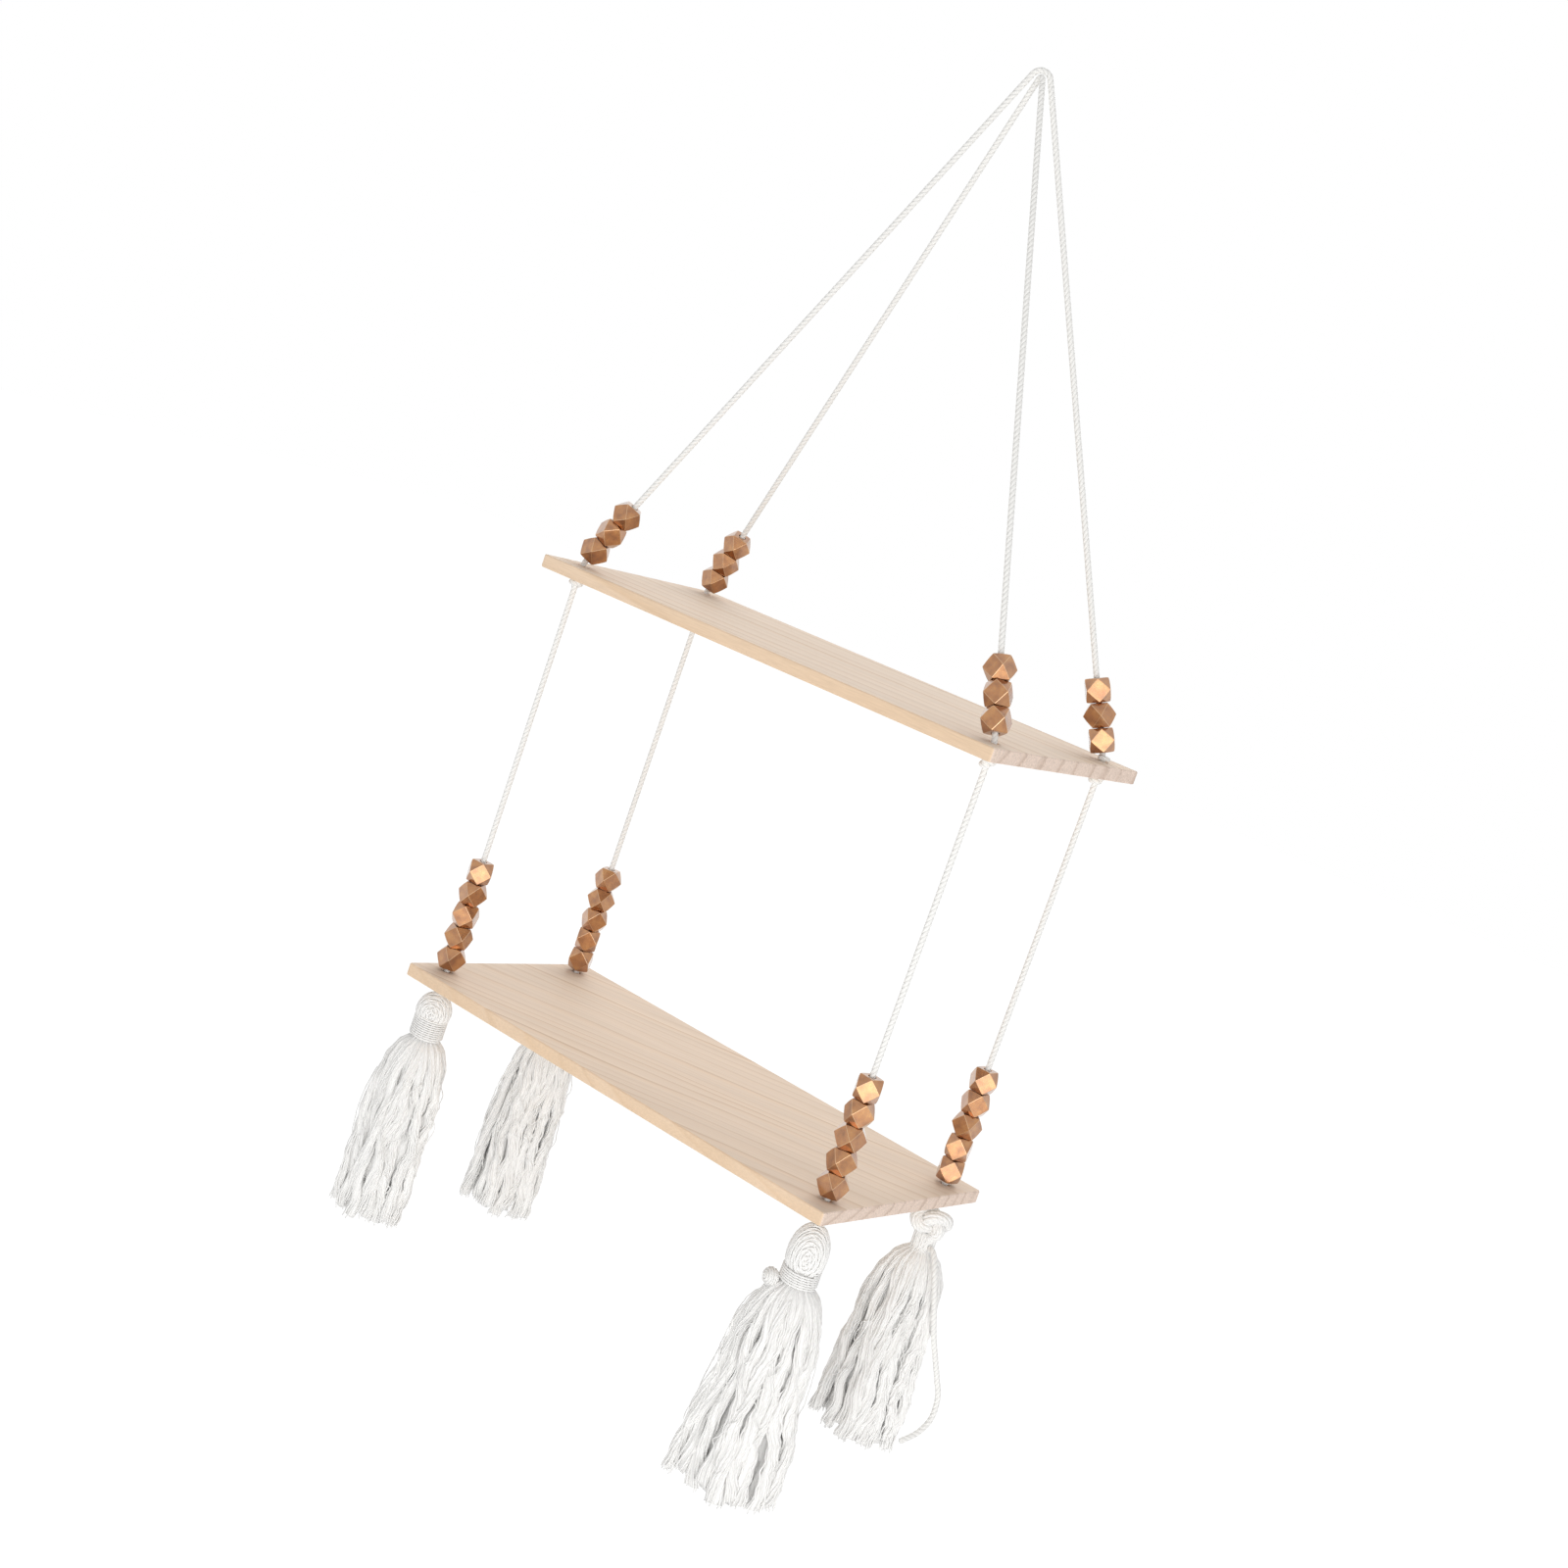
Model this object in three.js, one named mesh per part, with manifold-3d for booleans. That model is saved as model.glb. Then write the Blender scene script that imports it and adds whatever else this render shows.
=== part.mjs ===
// Hanging rope shelf: two boards on two knotted cords, with faceted beads and yarn tassels.
// Lengths are in millimetres. +X runs along the boards, -Y is the front and +Z is up.
// The origin is the point that both cords hang from, the centre of their bends.

import * as THREE from "three";
import { ConvexGeometry } from "three/addons/geometries/ConvexGeometry.js";
import { mergeVertices } from "three/addons/utils/BufferGeometryUtils.js";
import Module from "manifold-3d";

const wasm = await Module();
wasm.setup();

// Boards and how far apart they hang
const boardLength = 360;
const boardDepth = 176;
const boardThickness = 8.4;
const boardCornerRadius = 1.5;
const boardEdgeEase = 0.6;
const holeEndInset = 14;
const holeEdgeInset = 22;
const holeDiameter = 6.4;
const hangDrop = 371;
const shelfSpacing = 284;

// Cord, its bends over the hanging point and its stop knots
const cordDiameter = 3.8;
const innerBendSlack = 0.4;
const elbowReach = 3.4;
const knotDiameter = 10;
const knotHeight = 5.6;

// Beads, each a cuboctahedron bored through two opposite square faces
const beadHeight = 15;
const beadCornerCut = 1.4;
const beadBore = 4.7;
const beadStandoff = 2.1;

// Tassels and the yarn that binds their necks
const bindingYarn = 2.4;
const bindingGap = 0.5;
const tasselFoldShare = 0.07;
const tasselSizes = {
  lf: { length: 162, head: 24, headHeight: 15, neck: 23, turns: 5, middle: 54, end: 54 },
  lb: { length: 168, head: 24, headHeight: 15, neck: 23, turns: 5, middle: 54, end: 58 },
  rf: { length: 172, head: 25, headHeight: 27, neck: 24, turns: 3, middle: 60, end: 76 },
  rb: { length: 158, head: 30, headHeight: 22, neck: 16, turns: 0, middle: 56, end: 64 },
};
const bareNeckHeight = 8;

// Clearances, and the angles in degrees that the lower shelf and the tassels swing each way
const clearance = 0.3;
const cutOverrun = 1;
const lowerShelfSway = 12;
const tasselSwing = 15;

// Turn of each bead about its cord in degrees, from the lowest bead up, as the photograph shows it
const upperBeadTurns = {
  lf: [74, 56, 87],
  lb: [75, 82, 77],
  rf: [11, 17, 83],
  rb: [34, 79, 34],
};
const lowerBeadTurns = {
  lf: [79, 14, 26, 72, 47],
  lb: [29, 37, 59, 84, 67],
  rf: [79, 60, 79, 54, 34],
  rb: [34, 20, 86, 49, 44],
};

// Route of the loose cord end that hangs from the right back tassel, from that tassel's pivot
const looseEndRoute = [
  [7.6, -3.6, -26.8],
  [11.9, -5.6, -27.2],
  [19, -8.9, -36],
  [26.6, -9, -54],
  [31.2, -3.7, -74],
  [37, 10.5, -103.5],
  [40.2, 15, -116],
  [41.8, 13.7, -130],
  [40.7, 5.8, -139],
  [37.5, -7.3, -145],
];

// Facets of round sections, and steps along curves
const cordSides = 8;
const ballSides = 32;
const innerBendSteps = 24;
const outerBendSteps = 36;
const elbowSteps = 8;
const holeSides = 16;
const cornerSteps = 3;
const boreSides = 12;
const knotSides = 12;
const knotRows = 6;
const bindingSides = 6;
const bindingStepsPerTurn = 22;
const gapSamplesPerTurn = 200;
const tasselSides = 22;
const headRowDegrees = [22, 45, 68, 90];

// Folds down a tassel's skirt: how many broad and narrow ones go round it
const broadFolds = 5;
const narrowFolds = 3;
const narrowFoldShare = 0.6;

// Worked out from the sizes above
const cordRadius = cordDiameter / 2;
const innerBendRadius = cordRadius + innerBendSlack;
const outerBendRadius = innerBendRadius + cordDiameter + clearance;
const upperTopZ = -hangDrop;
const upperKnotTopZ = upperTopZ - boardThickness - clearance;
const lowerTopZ = upperTopZ - shelfSpacing;
const lowerKnotTopZ = lowerTopZ - boardThickness - clearance;
const holeX = boardLength / 2 - holeEndInset;
const holeY = boardDepth / 2 - holeEdgeInset;
const up = new THREE.Vector3(0, 0, 1);

// The outer cord runs from the left front hole to the right back one, the inner cord across it.
const corners = [
  { tag: "lf", x: -holeX, y: -holeY, bendRadius: outerBendRadius },
  { tag: "lb", x: -holeX, y: holeY, bendRadius: innerBendRadius },
  { tag: "rf", x: holeX, y: -holeY, bendRadius: innerBendRadius },
  { tag: "rb", x: holeX, y: holeY, bendRadius: outerBendRadius },
];

const finishes = {
  pine: { color: 0xe4cbb0, roughness: 0.75, metalness: 0 },
  cord: { color: 0xf4f2ee, roughness: 0.9, metalness: 0 },
  yarn: { color: 0xefedea, roughness: 0.95, metalness: 0 },
  copper: { color: 0xc98a54, roughness: 0.35, metalness: 0.6 },
};

const shelf = new THREE.Group();

function addPiece(name, geometry, finish) {
  const mesh = new THREE.Mesh(geometry, new THREE.MeshStandardMaterial(finishes[finish]));
  mesh.name = name;
  shelf.add(mesh);
  return mesh;
}

// Solids for joining and cutting

function solidFrom(geometry) {
  const bare = geometry.index ? geometry.toNonIndexed() : geometry.clone();
  bare.deleteAttribute("normal");
  bare.deleteAttribute("uv");
  const merged = mergeVertices(bare);
  const solid = new wasm.Mesh({
    numProp: 3,
    vertProperties: merged.attributes.position.array,
    triVerts: new Uint32Array(merged.index.array),
  });
  return new wasm.Manifold(solid);
}

function geometryFrom(solid) {
  const mesh = solid.getMesh();
  const geometry = new THREE.BufferGeometry();
  geometry.setAttribute("position", new THREE.BufferAttribute(mesh.vertProperties, mesh.numProp));
  geometry.setIndex(new THREE.BufferAttribute(mesh.triVerts, 1));
  return geometry;
}

// Round sections and tubes

function roundSection(radius, sides) {
  const points = [];
  for (let i = 0; i < sides; i++) {
    const angle = (2 * Math.PI * i) / sides;
    points.push(new THREE.Vector2(radius * Math.cos(angle), radius * Math.sin(angle)));
  }
  return new THREE.Shape(points);
}

function tubeAlong(curve, radius, sides, steps) {
  const section = roundSection(radius, sides);
  return new THREE.ExtrudeGeometry(section, { steps, bevelEnabled: false, extrudePath: curve });
}

function cordGeometry(from, to) {
  const geometry = new THREE.CylinderGeometry(cordRadius, cordRadius, from.distanceTo(to), cordSides);
  const lean = new THREE.Quaternion().setFromUnitVectors(up, from.clone().sub(to).normalize());
  const middle = from.clone().add(to).divideScalar(2);
  geometry.rotateX(Math.PI / 2);
  geometry.applyQuaternion(lean);
  geometry.translate(middle.x, middle.y, middle.z);
  return geometry;
}

// Boards

function boardGeometry() {
  const halfLength = boardLength / 2;
  const halfDepth = boardDepth / 2;
  const cornerX = halfLength - boardCornerRadius;
  const cornerY = halfDepth - boardCornerRadius;
  const outline = new THREE.Shape();
  outline.absarc(cornerX, cornerY, boardCornerRadius, 0, Math.PI / 2);
  outline.absarc(-cornerX, cornerY, boardCornerRadius, Math.PI / 2, Math.PI);
  outline.absarc(-cornerX, -cornerY, boardCornerRadius, Math.PI, 1.5 * Math.PI);
  outline.absarc(cornerX, -cornerY, boardCornerRadius, 1.5 * Math.PI, 2 * Math.PI);
  const wall = boardThickness - 2 * boardEdgeEase;
  const slab = new THREE.ExtrudeGeometry(outline, {
    depth: wall,
    curveSegments: cornerSteps,
    bevelThickness: boardEdgeEase,
    bevelSize: boardEdgeEase,
    bevelOffset: -boardEdgeEase,
    bevelSegments: 1,
  });
  slab.translate(0, 0, boardEdgeEase - boardThickness);
  let board = solidFrom(slab);
  for (const { x, y } of corners) {
    board = board.subtract(solidFrom(holeCutter()).translate(x, y, 0));
  }
  return geometryFrom(board);
}

// The drill and both of its countersinks, turned as one profile
function holeCutter() {
  const radius = holeDiameter / 2;
  const wide = radius + boardEdgeEase + cutOverrun;
  const profile = [
    new THREE.Vector2(0, -boardThickness - cutOverrun),
    new THREE.Vector2(wide, -boardThickness - cutOverrun),
    new THREE.Vector2(radius, boardEdgeEase - boardThickness),
    new THREE.Vector2(radius, -boardEdgeEase),
    new THREE.Vector2(wide, cutOverrun),
    new THREE.Vector2(0, cutOverrun),
  ];
  const cutter = new THREE.LatheGeometry(profile, holeSides);
  cutter.rotateX(Math.PI / 2);
  return cutter;
}

function addBoards() {
  const geometry = boardGeometry();
  addPiece("upper_shelf", geometry, "pine").position.z = upperTopZ;
  addPiece("lower_shelf", geometry.clone(), "pine").position.z = lowerTopZ;
}

// Upper legs: each leaves its bend along a tangent and runs to the top of its hole.

function upperLeg(corner) {
  const foot = new THREE.Vector3(corner.x, corner.y, upperTopZ);
  const reach = Math.hypot(corner.x, corner.y);
  const outward = new THREE.Vector3(corner.x / reach, corner.y / reach, 0);
  const footAngle = Math.PI - Math.atan2(reach, hangDrop);
  const bendAngle = footAngle - Math.acos(corner.bendRadius / foot.length());
  const top = bendPoint(corner.bendRadius, outward, bendAngle);
  const downward = foot.clone().sub(top).normalize();
  const slope = Math.acos(-downward.z);
  return { foot, outward, bendAngle, top, downward, slope };
}

function bendPoint(radius, outward, angle) {
  const point = outward.clone().multiplyScalar(radius * Math.sin(angle));
  point.z = radius * Math.cos(angle);
  return point;
}

// A ball about the hanging point whose flat facets all lie outside its radius
function ballSolid(radius) {
  const reach = radius / Math.cos(Math.PI / ballSides) ** 2;
  return solidFrom(new THREE.SphereGeometry(reach, ballSides, ballSides / 2));
}

// Over the top of the hanging point, then straight on along both legs for a tail's length
class BendCurve extends THREE.Curve {
  constructor(radius, leg, tail) {
    super();
    this.radius = radius;
    this.outward = leg.outward;
    this.angle = leg.bendAngle;
    this.tail = tail;
  }
  getPoint(share) {
    const arc = this.radius * this.angle;
    const along = (2 * share - 1) * (arc + this.tail);
    const held = Math.min(Math.max(along, -arc), arc);
    const turned = held / this.radius;
    const heading = this.outward.clone().multiplyScalar(Math.cos(turned));
    heading.z = -Math.sin(turned);
    return bendPoint(this.radius, this.outward, turned).addScaledVector(heading, along - held);
  }
}

// The bends end and the legs start on balls about the hanging point, so they slide past each
// other with the same gap however the shelf swings.
function addBend(name, corner, steps) {
  const reach = corner.bendRadius + cordRadius;
  const curve = new BendCurve(corner.bendRadius, upperLeg(corner), reach + cutOverrun);
  const cord = solidFrom(tubeAlong(curve, cordRadius, cordSides, steps));
  addPiece(name, geometryFrom(cord.intersect(ballSolid(reach))), "cord");
}

function addUpperLeg(corner) {
  const leg = upperLeg(corner);
  const to = leg.foot.clone().addScaledVector(leg.downward, -elbowReach - clearance);
  const ball = ballSolid(corner.bendRadius + cordRadius + clearance);
  const cord = solidFrom(cordGeometry(leg.top, to)).subtract(ball);
  addPiece("upper_leg_" + corner.tag, geometryFrom(cord), "cord");
}

// Stop knots: a knot under the board, with its cord through the hole above it

function knotGeometry() {
  const radius = knotDiameter / 2;
  const points = [new THREE.Vector2(0, -knotHeight)];
  for (let i = 0; i <= knotRows; i++) {
    const angle = Math.PI * (i / knotRows - 0.5);
    const bulge = cordRadius + (radius - cordRadius) * Math.cos(angle);
    points.push(new THREE.Vector2(bulge, (knotHeight * (Math.sin(angle) - 1)) / 2));
  }
  points.push(new THREE.Vector2(0, 0));
  const knot = new THREE.LatheGeometry(points, knotSides);
  knot.rotateX(Math.PI / 2);
  return knot;
}

function addStopKnot(name, x, y, topZ, throughCord) {
  const knot = solidFrom(knotGeometry()).translate(x, y, topZ);
  addPiece(name, geometryFrom(knot.add(solidFrom(throughCord))), "cord");
}

function addUpperStopKnot(corner) {
  const leg = upperLeg(corner);
  const start = leg.foot.clone().addScaledVector(leg.downward, -elbowReach);
  const end = new THREE.Vector3(corner.x, corner.y, upperKnotTopZ - knotHeight / 2);
  const elbow = new THREE.QuadraticBezierCurve3(start, leg.foot, end);
  const through = tubeAlong(elbow, cordRadius, cordSides, elbowSteps);
  addStopKnot("upper_stop_knot_" + corner.tag, corner.x, corner.y, upperKnotTopZ, through);
}

function addLowerStopKnot(corner) {
  const height = lowerTopZ - lowerKnotTopZ + knotHeight / 2;
  const through = new THREE.CylinderGeometry(cordRadius, cordRadius, height, cordSides);
  through.rotateX(Math.PI / 2);
  through.translate(corner.x, corner.y, lowerTopZ - height / 2);
  addStopKnot("lower_stop_knot_" + corner.tag, corner.x, corner.y, lowerKnotTopZ, through);
}

// Lower legs: each turns about the bottom of its upper knot and the top of its lower hole.

function addLowerLeg(corner) {
  const sway = Math.sin(THREE.MathUtils.degToRad(lowerShelfSway));
  const gap = clearance + cordRadius * sway;
  const from = new THREE.Vector3(corner.x, corner.y, upperKnotTopZ - knotHeight - gap);
  const to = new THREE.Vector3(corner.x, corner.y, lowerTopZ + gap);
  addPiece("lower_leg_" + corner.tag, cordGeometry(from, to), "cord");
}

// Beads

// Every corner of the cuboctahedron becomes four, a cut's length along each of its edges.
function beadGeometry() {
  const half = beadHeight / 2;
  const vertices = [];
  for (const a of [-half, half]) {
    for (const b of [-half, half]) {
      vertices.push(new THREE.Vector3(a, b, 0));
      vertices.push(new THREE.Vector3(a, 0, b));
      vertices.push(new THREE.Vector3(0, a, b));
    }
  }
  const edge = half * Math.SQRT2;
  const points = [];
  for (const vertex of vertices) {
    for (const other of vertices) {
      const edges = Math.round(vertex.distanceTo(other) / (edge / 2)) / 2;
      if (edges === 1) points.push(vertex.clone().lerp(other, beadCornerCut / edge));
    }
  }
  const bore = new THREE.CylinderGeometry(
    beadBore / 2, beadBore / 2, beadHeight + 2 * cutOverrun, boreSides,
  );
  bore.rotateX(Math.PI / 2);
  return geometryFrom(solidFrom(new ConvexGeometry(points)).subtract(solidFrom(bore)));
}

// How far up its cord a bead's lower face starts, so that its rim keeps a height above a board
// at that tilt. The rim's furthest points are the cut corners of the lower square face.
function beadLift(tilt, height) {
  const cut = beadCornerCut / Math.SQRT2;
  const rimReach = Math.hypot(beadHeight / 2 - cut, cut);
  return (height + rimReach * Math.sin(tilt)) / Math.cos(tilt);
}

function addBeadColumn(prefix, foot, downward, lift, turns, geometry) {
  const lean = new THREE.Quaternion().setFromUnitVectors(up, downward.clone().negate());
  turns.forEach((turn, i) => {
    const rise = lift + beadHeight / 2 + i * (beadHeight + clearance);
    const bead = addPiece(`${prefix}_${i + 1}`, geometry.clone(), "copper");
    bead.position.copy(foot).addScaledVector(downward, -rise);
    bead.quaternion.setFromAxisAngle(up, THREE.MathUtils.degToRad(turn)).premultiply(lean);
  });
}

function addBeads(geometry, corner) {
  const leg = upperLeg(corner);
  const upperTurns = upperBeadTurns[corner.tag];
  const lowerTurns = lowerBeadTurns[corner.tag];
  const upperLift = beadLift(leg.slope, beadStandoff);
  addBeadColumn("upper_bead_" + corner.tag, leg.foot, leg.downward, upperLift, upperTurns, geometry);
  const foot = new THREE.Vector3(corner.x, corner.y, lowerTopZ);
  const swayLift = beadLift(THREE.MathUtils.degToRad(lowerShelfSway), clearance);
  const lowerLift = Math.max(beadStandoff, swayLift);
  const down = up.clone().negate();
  addBeadColumn("lower_bead_" + corner.tag, foot, down, lowerLift, lowerTurns, geometry);
}

// Tassels hang from a pivot at the bottom of the lower knot, a gap above their round heads.

function tasselPivot(corner) {
  return new THREE.Vector3(corner.x, corner.y, lowerKnotTopZ - knotHeight);
}

function tasselGap(headRadius) {
  const swing = THREE.MathUtils.degToRad(tasselSwing);
  return (clearance + headRadius * (1 - Math.cos(swing))) / Math.cos(swing);
}

function bindingPitch() {
  return bindingYarn + bindingGap;
}

// The neck's bare height under its binding, and the radius that the binding leaves it
function neckOf(size) {
  if (!size.turns) return { height: bareNeckHeight, radius: size.neck / 2 };
  const height = size.turns * bindingPitch() + bindingYarn + 2 * clearance;
  return { height, radius: size.neck / 2 - bindingYarn - clearance };
}

// Shares of the skirt's height, and of the way from neck to middle width, then from middle to end
const flareShares = [
  [0.05, 0.42],
  [0.14, 0.74],
  [0.28, 0.94],
  [0.42, 1],
];
const hangShares = [
  [0.58, 0.3],
  [0.75, 0.7],
  [0.9, 1],
  [0.97, 0.96],
];
const endShare = 0.72;

function tasselRings(size) {
  const headRadius = size.head / 2;
  const neck = neckOf(size);
  const middle = size.middle / 2;
  const end = size.end / 2;
  const rings = [];
  for (const degrees of headRowDegrees) {
    const angle = THREE.MathUtils.degToRad(degrees);
    const depth = headRadius * (1 - Math.cos(angle));
    rings.push({ depth, radius: headRadius * Math.sin(angle), folds: 0 });
  }
  const shoulder = (headRadius - neck.radius) / 2;
  rings.push({ depth: size.headHeight - shoulder, radius: headRadius, folds: 0 });
  rings.push({ depth: size.headHeight, radius: neck.radius, folds: 0 });
  const skirtTop = size.headHeight + neck.height;
  const skirtHeight = size.length - skirtTop;
  rings.push({ depth: skirtTop, radius: neck.radius, folds: 0 });
  for (const [down, out] of flareShares) {
    const radius = neck.radius + (middle - neck.radius) * out;
    rings.push({ depth: skirtTop + skirtHeight * down, radius, folds: out });
  }
  for (const [down, out] of hangShares) {
    const radius = middle + (end - middle) * out;
    rings.push({ depth: skirtTop + skirtHeight * down, radius, folds: 1 });
  }
  rings.push({ depth: size.length, radius: end * endShare, folds: 1 });
  return rings;
}

function tasselGeometry(size) {
  const rings = tasselRings(size);
  const points = [0, 0, 0];
  for (const ring of rings) {
    for (let i = 0; i < tasselSides; i++) {
      const angle = (2 * Math.PI * i) / tasselSides;
      const narrow = narrowFoldShare * Math.cos(narrowFolds * angle + ring.depth / size.length);
      const wave = Math.cos(broadFolds * angle) + narrow;
      const radius = ring.radius * (1 + ring.folds * tasselFoldShare * (wave - 1));
      points.push(radius * Math.cos(angle), radius * Math.sin(angle), -ring.depth);
    }
  }
  points.push(0, 0, -size.length);
  const last = rings.length * tasselSides + 1;
  const index = [];
  for (let i = 0; i < tasselSides; i++) {
    const next = (i + 1) % tasselSides;
    index.push(0, 1 + i, 1 + next);
    for (let row = 0; row < rings.length - 1; row++) {
      const a = 1 + row * tasselSides;
      const b = a + tasselSides;
      index.push(a + i, b + i, a + next, a + next, b + i, b + next);
    }
    index.push(last, last - tasselSides + next, last - tasselSides + i);
  }
  const geometry = new THREE.BufferGeometry();
  geometry.setAttribute("position", new THREE.Float32BufferAttribute(points, 3));
  geometry.setIndex(index);
  return geometry;
}

// A helix down the neck whose two ends run on straight for one diameter of the yarn
class BindingCurve extends THREE.Curve {
  constructor(radius, pitch, turns, endRun) {
    super();
    this.radius = radius;
    this.pitch = pitch;
    this.turns = turns;
    this.turnLength = Math.hypot(2 * Math.PI * radius, pitch);
    this.wound = turns * this.turnLength;
    this.endRun = endRun;
  }
  helix(along) {
    const turn = along / this.turnLength;
    const angle = 2 * Math.PI * turn;
    const x = this.radius * Math.cos(angle);
    const y = this.radius * Math.sin(angle);
    return new THREE.Vector3(x, y, -this.pitch * turn);
  }
  heading(along) {
    const angle = (2 * Math.PI * along) / this.turnLength;
    const round = this.radius * 2 * Math.PI;
    const x = -round * Math.sin(angle);
    const y = round * Math.cos(angle);
    return new THREE.Vector3(x, y, -this.pitch).divideScalar(this.turnLength);
  }
  getPoint(share) {
    const along = share * (this.wound + 2 * this.endRun) - this.endRun;
    const held = Math.min(Math.max(along, 0), this.wound);
    return this.helix(held).addScaledVector(this.heading(held), along - held);
  }
}

// The least distance between the surfaces of two stretches that lie at least half a turn apart
function selfGap(curve) {
  const count = Math.round(gapSamplesPerTurn * curve.turns);
  const points = [];
  for (let i = 0; i <= count; i++) points.push(curve.getPoint(i / count));
  let least = Infinity;
  for (let i = 0; i <= count; i++) {
    for (let j = i + gapSamplesPerTurn / 2; j <= count; j++) {
      least = Math.min(least, points[i].distanceTo(points[j]));
    }
  }
  return least - bindingYarn;
}

function addBinding(corner, size, headTopZ) {
  const neck = neckOf(size);
  const radius = neck.radius + clearance + bindingYarn / 2;
  const curve = new BindingCurve(radius, bindingPitch(), size.turns, bindingYarn);
  const steps = Math.round(bindingStepsPerTurn * size.turns) + 2;
  const name = "tassel_binding_" + corner.tag;
  const binding = addPiece(name, tubeAlong(curve, bindingYarn / 2, bindingSides, steps), "yarn");
  const startZ = headTopZ - size.headHeight - clearance - bindingYarn / 2;
  binding.position.set(corner.x, corner.y, startZ);
  console.log(`${name}: least gap to itself ${selfGap(curve).toFixed(2)} mm`);
}

function addTassel(corner) {
  const size = tasselSizes[corner.tag];
  const headTopZ = tasselPivot(corner).z - tasselGap(size.head / 2);
  const tassel = addPiece("tassel_" + corner.tag, tasselGeometry(size), "yarn");
  tassel.position.set(corner.x, corner.y, headTopZ);
  if (size.turns) addBinding(corner, size, headTopZ);
}

function addLooseEnd(corner) {
  const pivot = tasselPivot(corner);
  const points = looseEndRoute.map(([x, y, z]) => new THREE.Vector3(x, y, z).add(pivot));
  const route = new THREE.CatmullRomCurve3(points, false, "centripetal");
  const steps = Math.round(route.getLength() / (2 * cordDiameter));
  addPiece("loose_cord_end", tubeAlong(route, cordRadius, cordSides, steps), "cord");
}

// Assembly

const [, , rightFront, rightBack] = corners;
addBend("inner_bend", rightFront, innerBendSteps);
addBend("outer_bend", rightBack, outerBendSteps);
addBoards();
const bead = beadGeometry();
for (const corner of corners) {
  addUpperLeg(corner);
  addUpperStopKnot(corner);
  addLowerLeg(corner);
  addLowerStopKnot(corner);
  addBeads(bead, corner);
  addTassel(corner);
}
addLooseEnd(rightBack);

export default shelf;
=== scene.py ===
"""Looks of a hanging rope shelf: pine boards, twisted white cords, copper beads and yarn tassels.

Every surface is worked out with numpy in metres, in the frame of the loaded solids: +X runs along
the boards, -Y is the front, +Z is up and the origin is the point that both cords hang from.
"""

import math

import bmesh
import bpy
import numpy as np
from mathutils import Matrix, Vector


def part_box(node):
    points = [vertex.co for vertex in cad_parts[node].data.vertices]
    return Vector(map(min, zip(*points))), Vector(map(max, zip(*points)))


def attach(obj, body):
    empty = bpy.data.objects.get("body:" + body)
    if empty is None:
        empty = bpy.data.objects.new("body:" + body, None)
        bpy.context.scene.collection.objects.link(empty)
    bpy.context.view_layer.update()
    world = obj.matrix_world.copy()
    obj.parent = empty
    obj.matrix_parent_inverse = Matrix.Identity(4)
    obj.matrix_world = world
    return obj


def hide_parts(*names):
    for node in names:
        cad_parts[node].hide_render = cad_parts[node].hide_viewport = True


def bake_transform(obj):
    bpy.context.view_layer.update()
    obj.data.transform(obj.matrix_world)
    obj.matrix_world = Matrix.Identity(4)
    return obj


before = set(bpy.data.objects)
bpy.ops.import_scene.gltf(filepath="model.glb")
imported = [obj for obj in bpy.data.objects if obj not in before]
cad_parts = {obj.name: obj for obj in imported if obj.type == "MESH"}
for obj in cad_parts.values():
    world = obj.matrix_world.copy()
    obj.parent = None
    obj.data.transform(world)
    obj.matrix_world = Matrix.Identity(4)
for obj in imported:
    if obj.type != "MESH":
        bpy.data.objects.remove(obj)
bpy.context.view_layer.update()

bl_info = {
    "name": "Hanging Rope Shelf",
    "version": (1, 0, 0),
    "blender": (4, 5, 0),
    "location": "3D View > Sidebar > Rope Shelf",
    "description": "Dresses a hanging rope shelf with cords, beads, boards and yarn tassels",
    "category": "Object",
}

TAGS = ("lf", "lb", "rf", "rb")     # corners: left or right, then front or back
UP = np.array([0, 0, 1.0])
INNER_BEND_RADIUS = 0.0023          # from the hanging point to the middle of the cord
OUTER_BEND_RADIUS = 0.0064
CLEARANCE = 0.0003
UPPER_BOARD_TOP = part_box("upper_shelf")[1].z
LOWER_BOARD_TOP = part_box("lower_shelf")[1].z
UPPER_KNOT_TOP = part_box("upper_shelf")[0].z - CLEARANCE
LOWER_KNOT_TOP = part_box("lower_shelf")[0].z - CLEARANCE
KNOT_HEIGHT = 0.0056                # the upper knots, with no tassel under them, are 1 mm taller
TASSEL_PIVOT = LOWER_KNOT_TOP - KNOT_HEIGHT
ELBOW = 0.0034                      # length above a hole in which a leg bends upright
CORD_STRANDS = 3
CORD_STEP = 0.0006                  # between the corners along a cord
KNOT_STEP = 0.0005
BEAD_HEIGHT = 0.015
CORNER_LEFT = 0.35                  # share of a bead's worn corner that is left

# Turns of the beads about their cords in degrees, from the lowest bead up
BEAD_TURNS = {
    "upper": {"lf": (74, 56, 87), "lb": (75, 82, 77), "rf": (11, 17, 83), "rb": (34, 79, 34)},
    "lower": {"lf": (79, 14, 26, 72, 47), "lb": (29, 37, 59, 84, 67),
              "rf": (79, 60, 79, 54, 34), "rb": (34, 20, 86, 49, 44)},
}

# Route of the loose cord end from the right back tassel's pivot, in metres
LOOSE_END_ROUTE = (
    (0.0076, -0.0036, -0.0268), (0.0119, -0.0056, -0.0272), (0.019, -0.0089, -0.036),
    (0.0266, -0.009, -0.054), (0.0312, -0.0037, -0.074), (0.037, 0.0105, -0.1035),
    (0.0402, 0.015, -0.116), (0.0418, 0.0137, -0.13), (0.0407, 0.0058, -0.139),
    (0.0375, -0.0073, -0.145),
)

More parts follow.
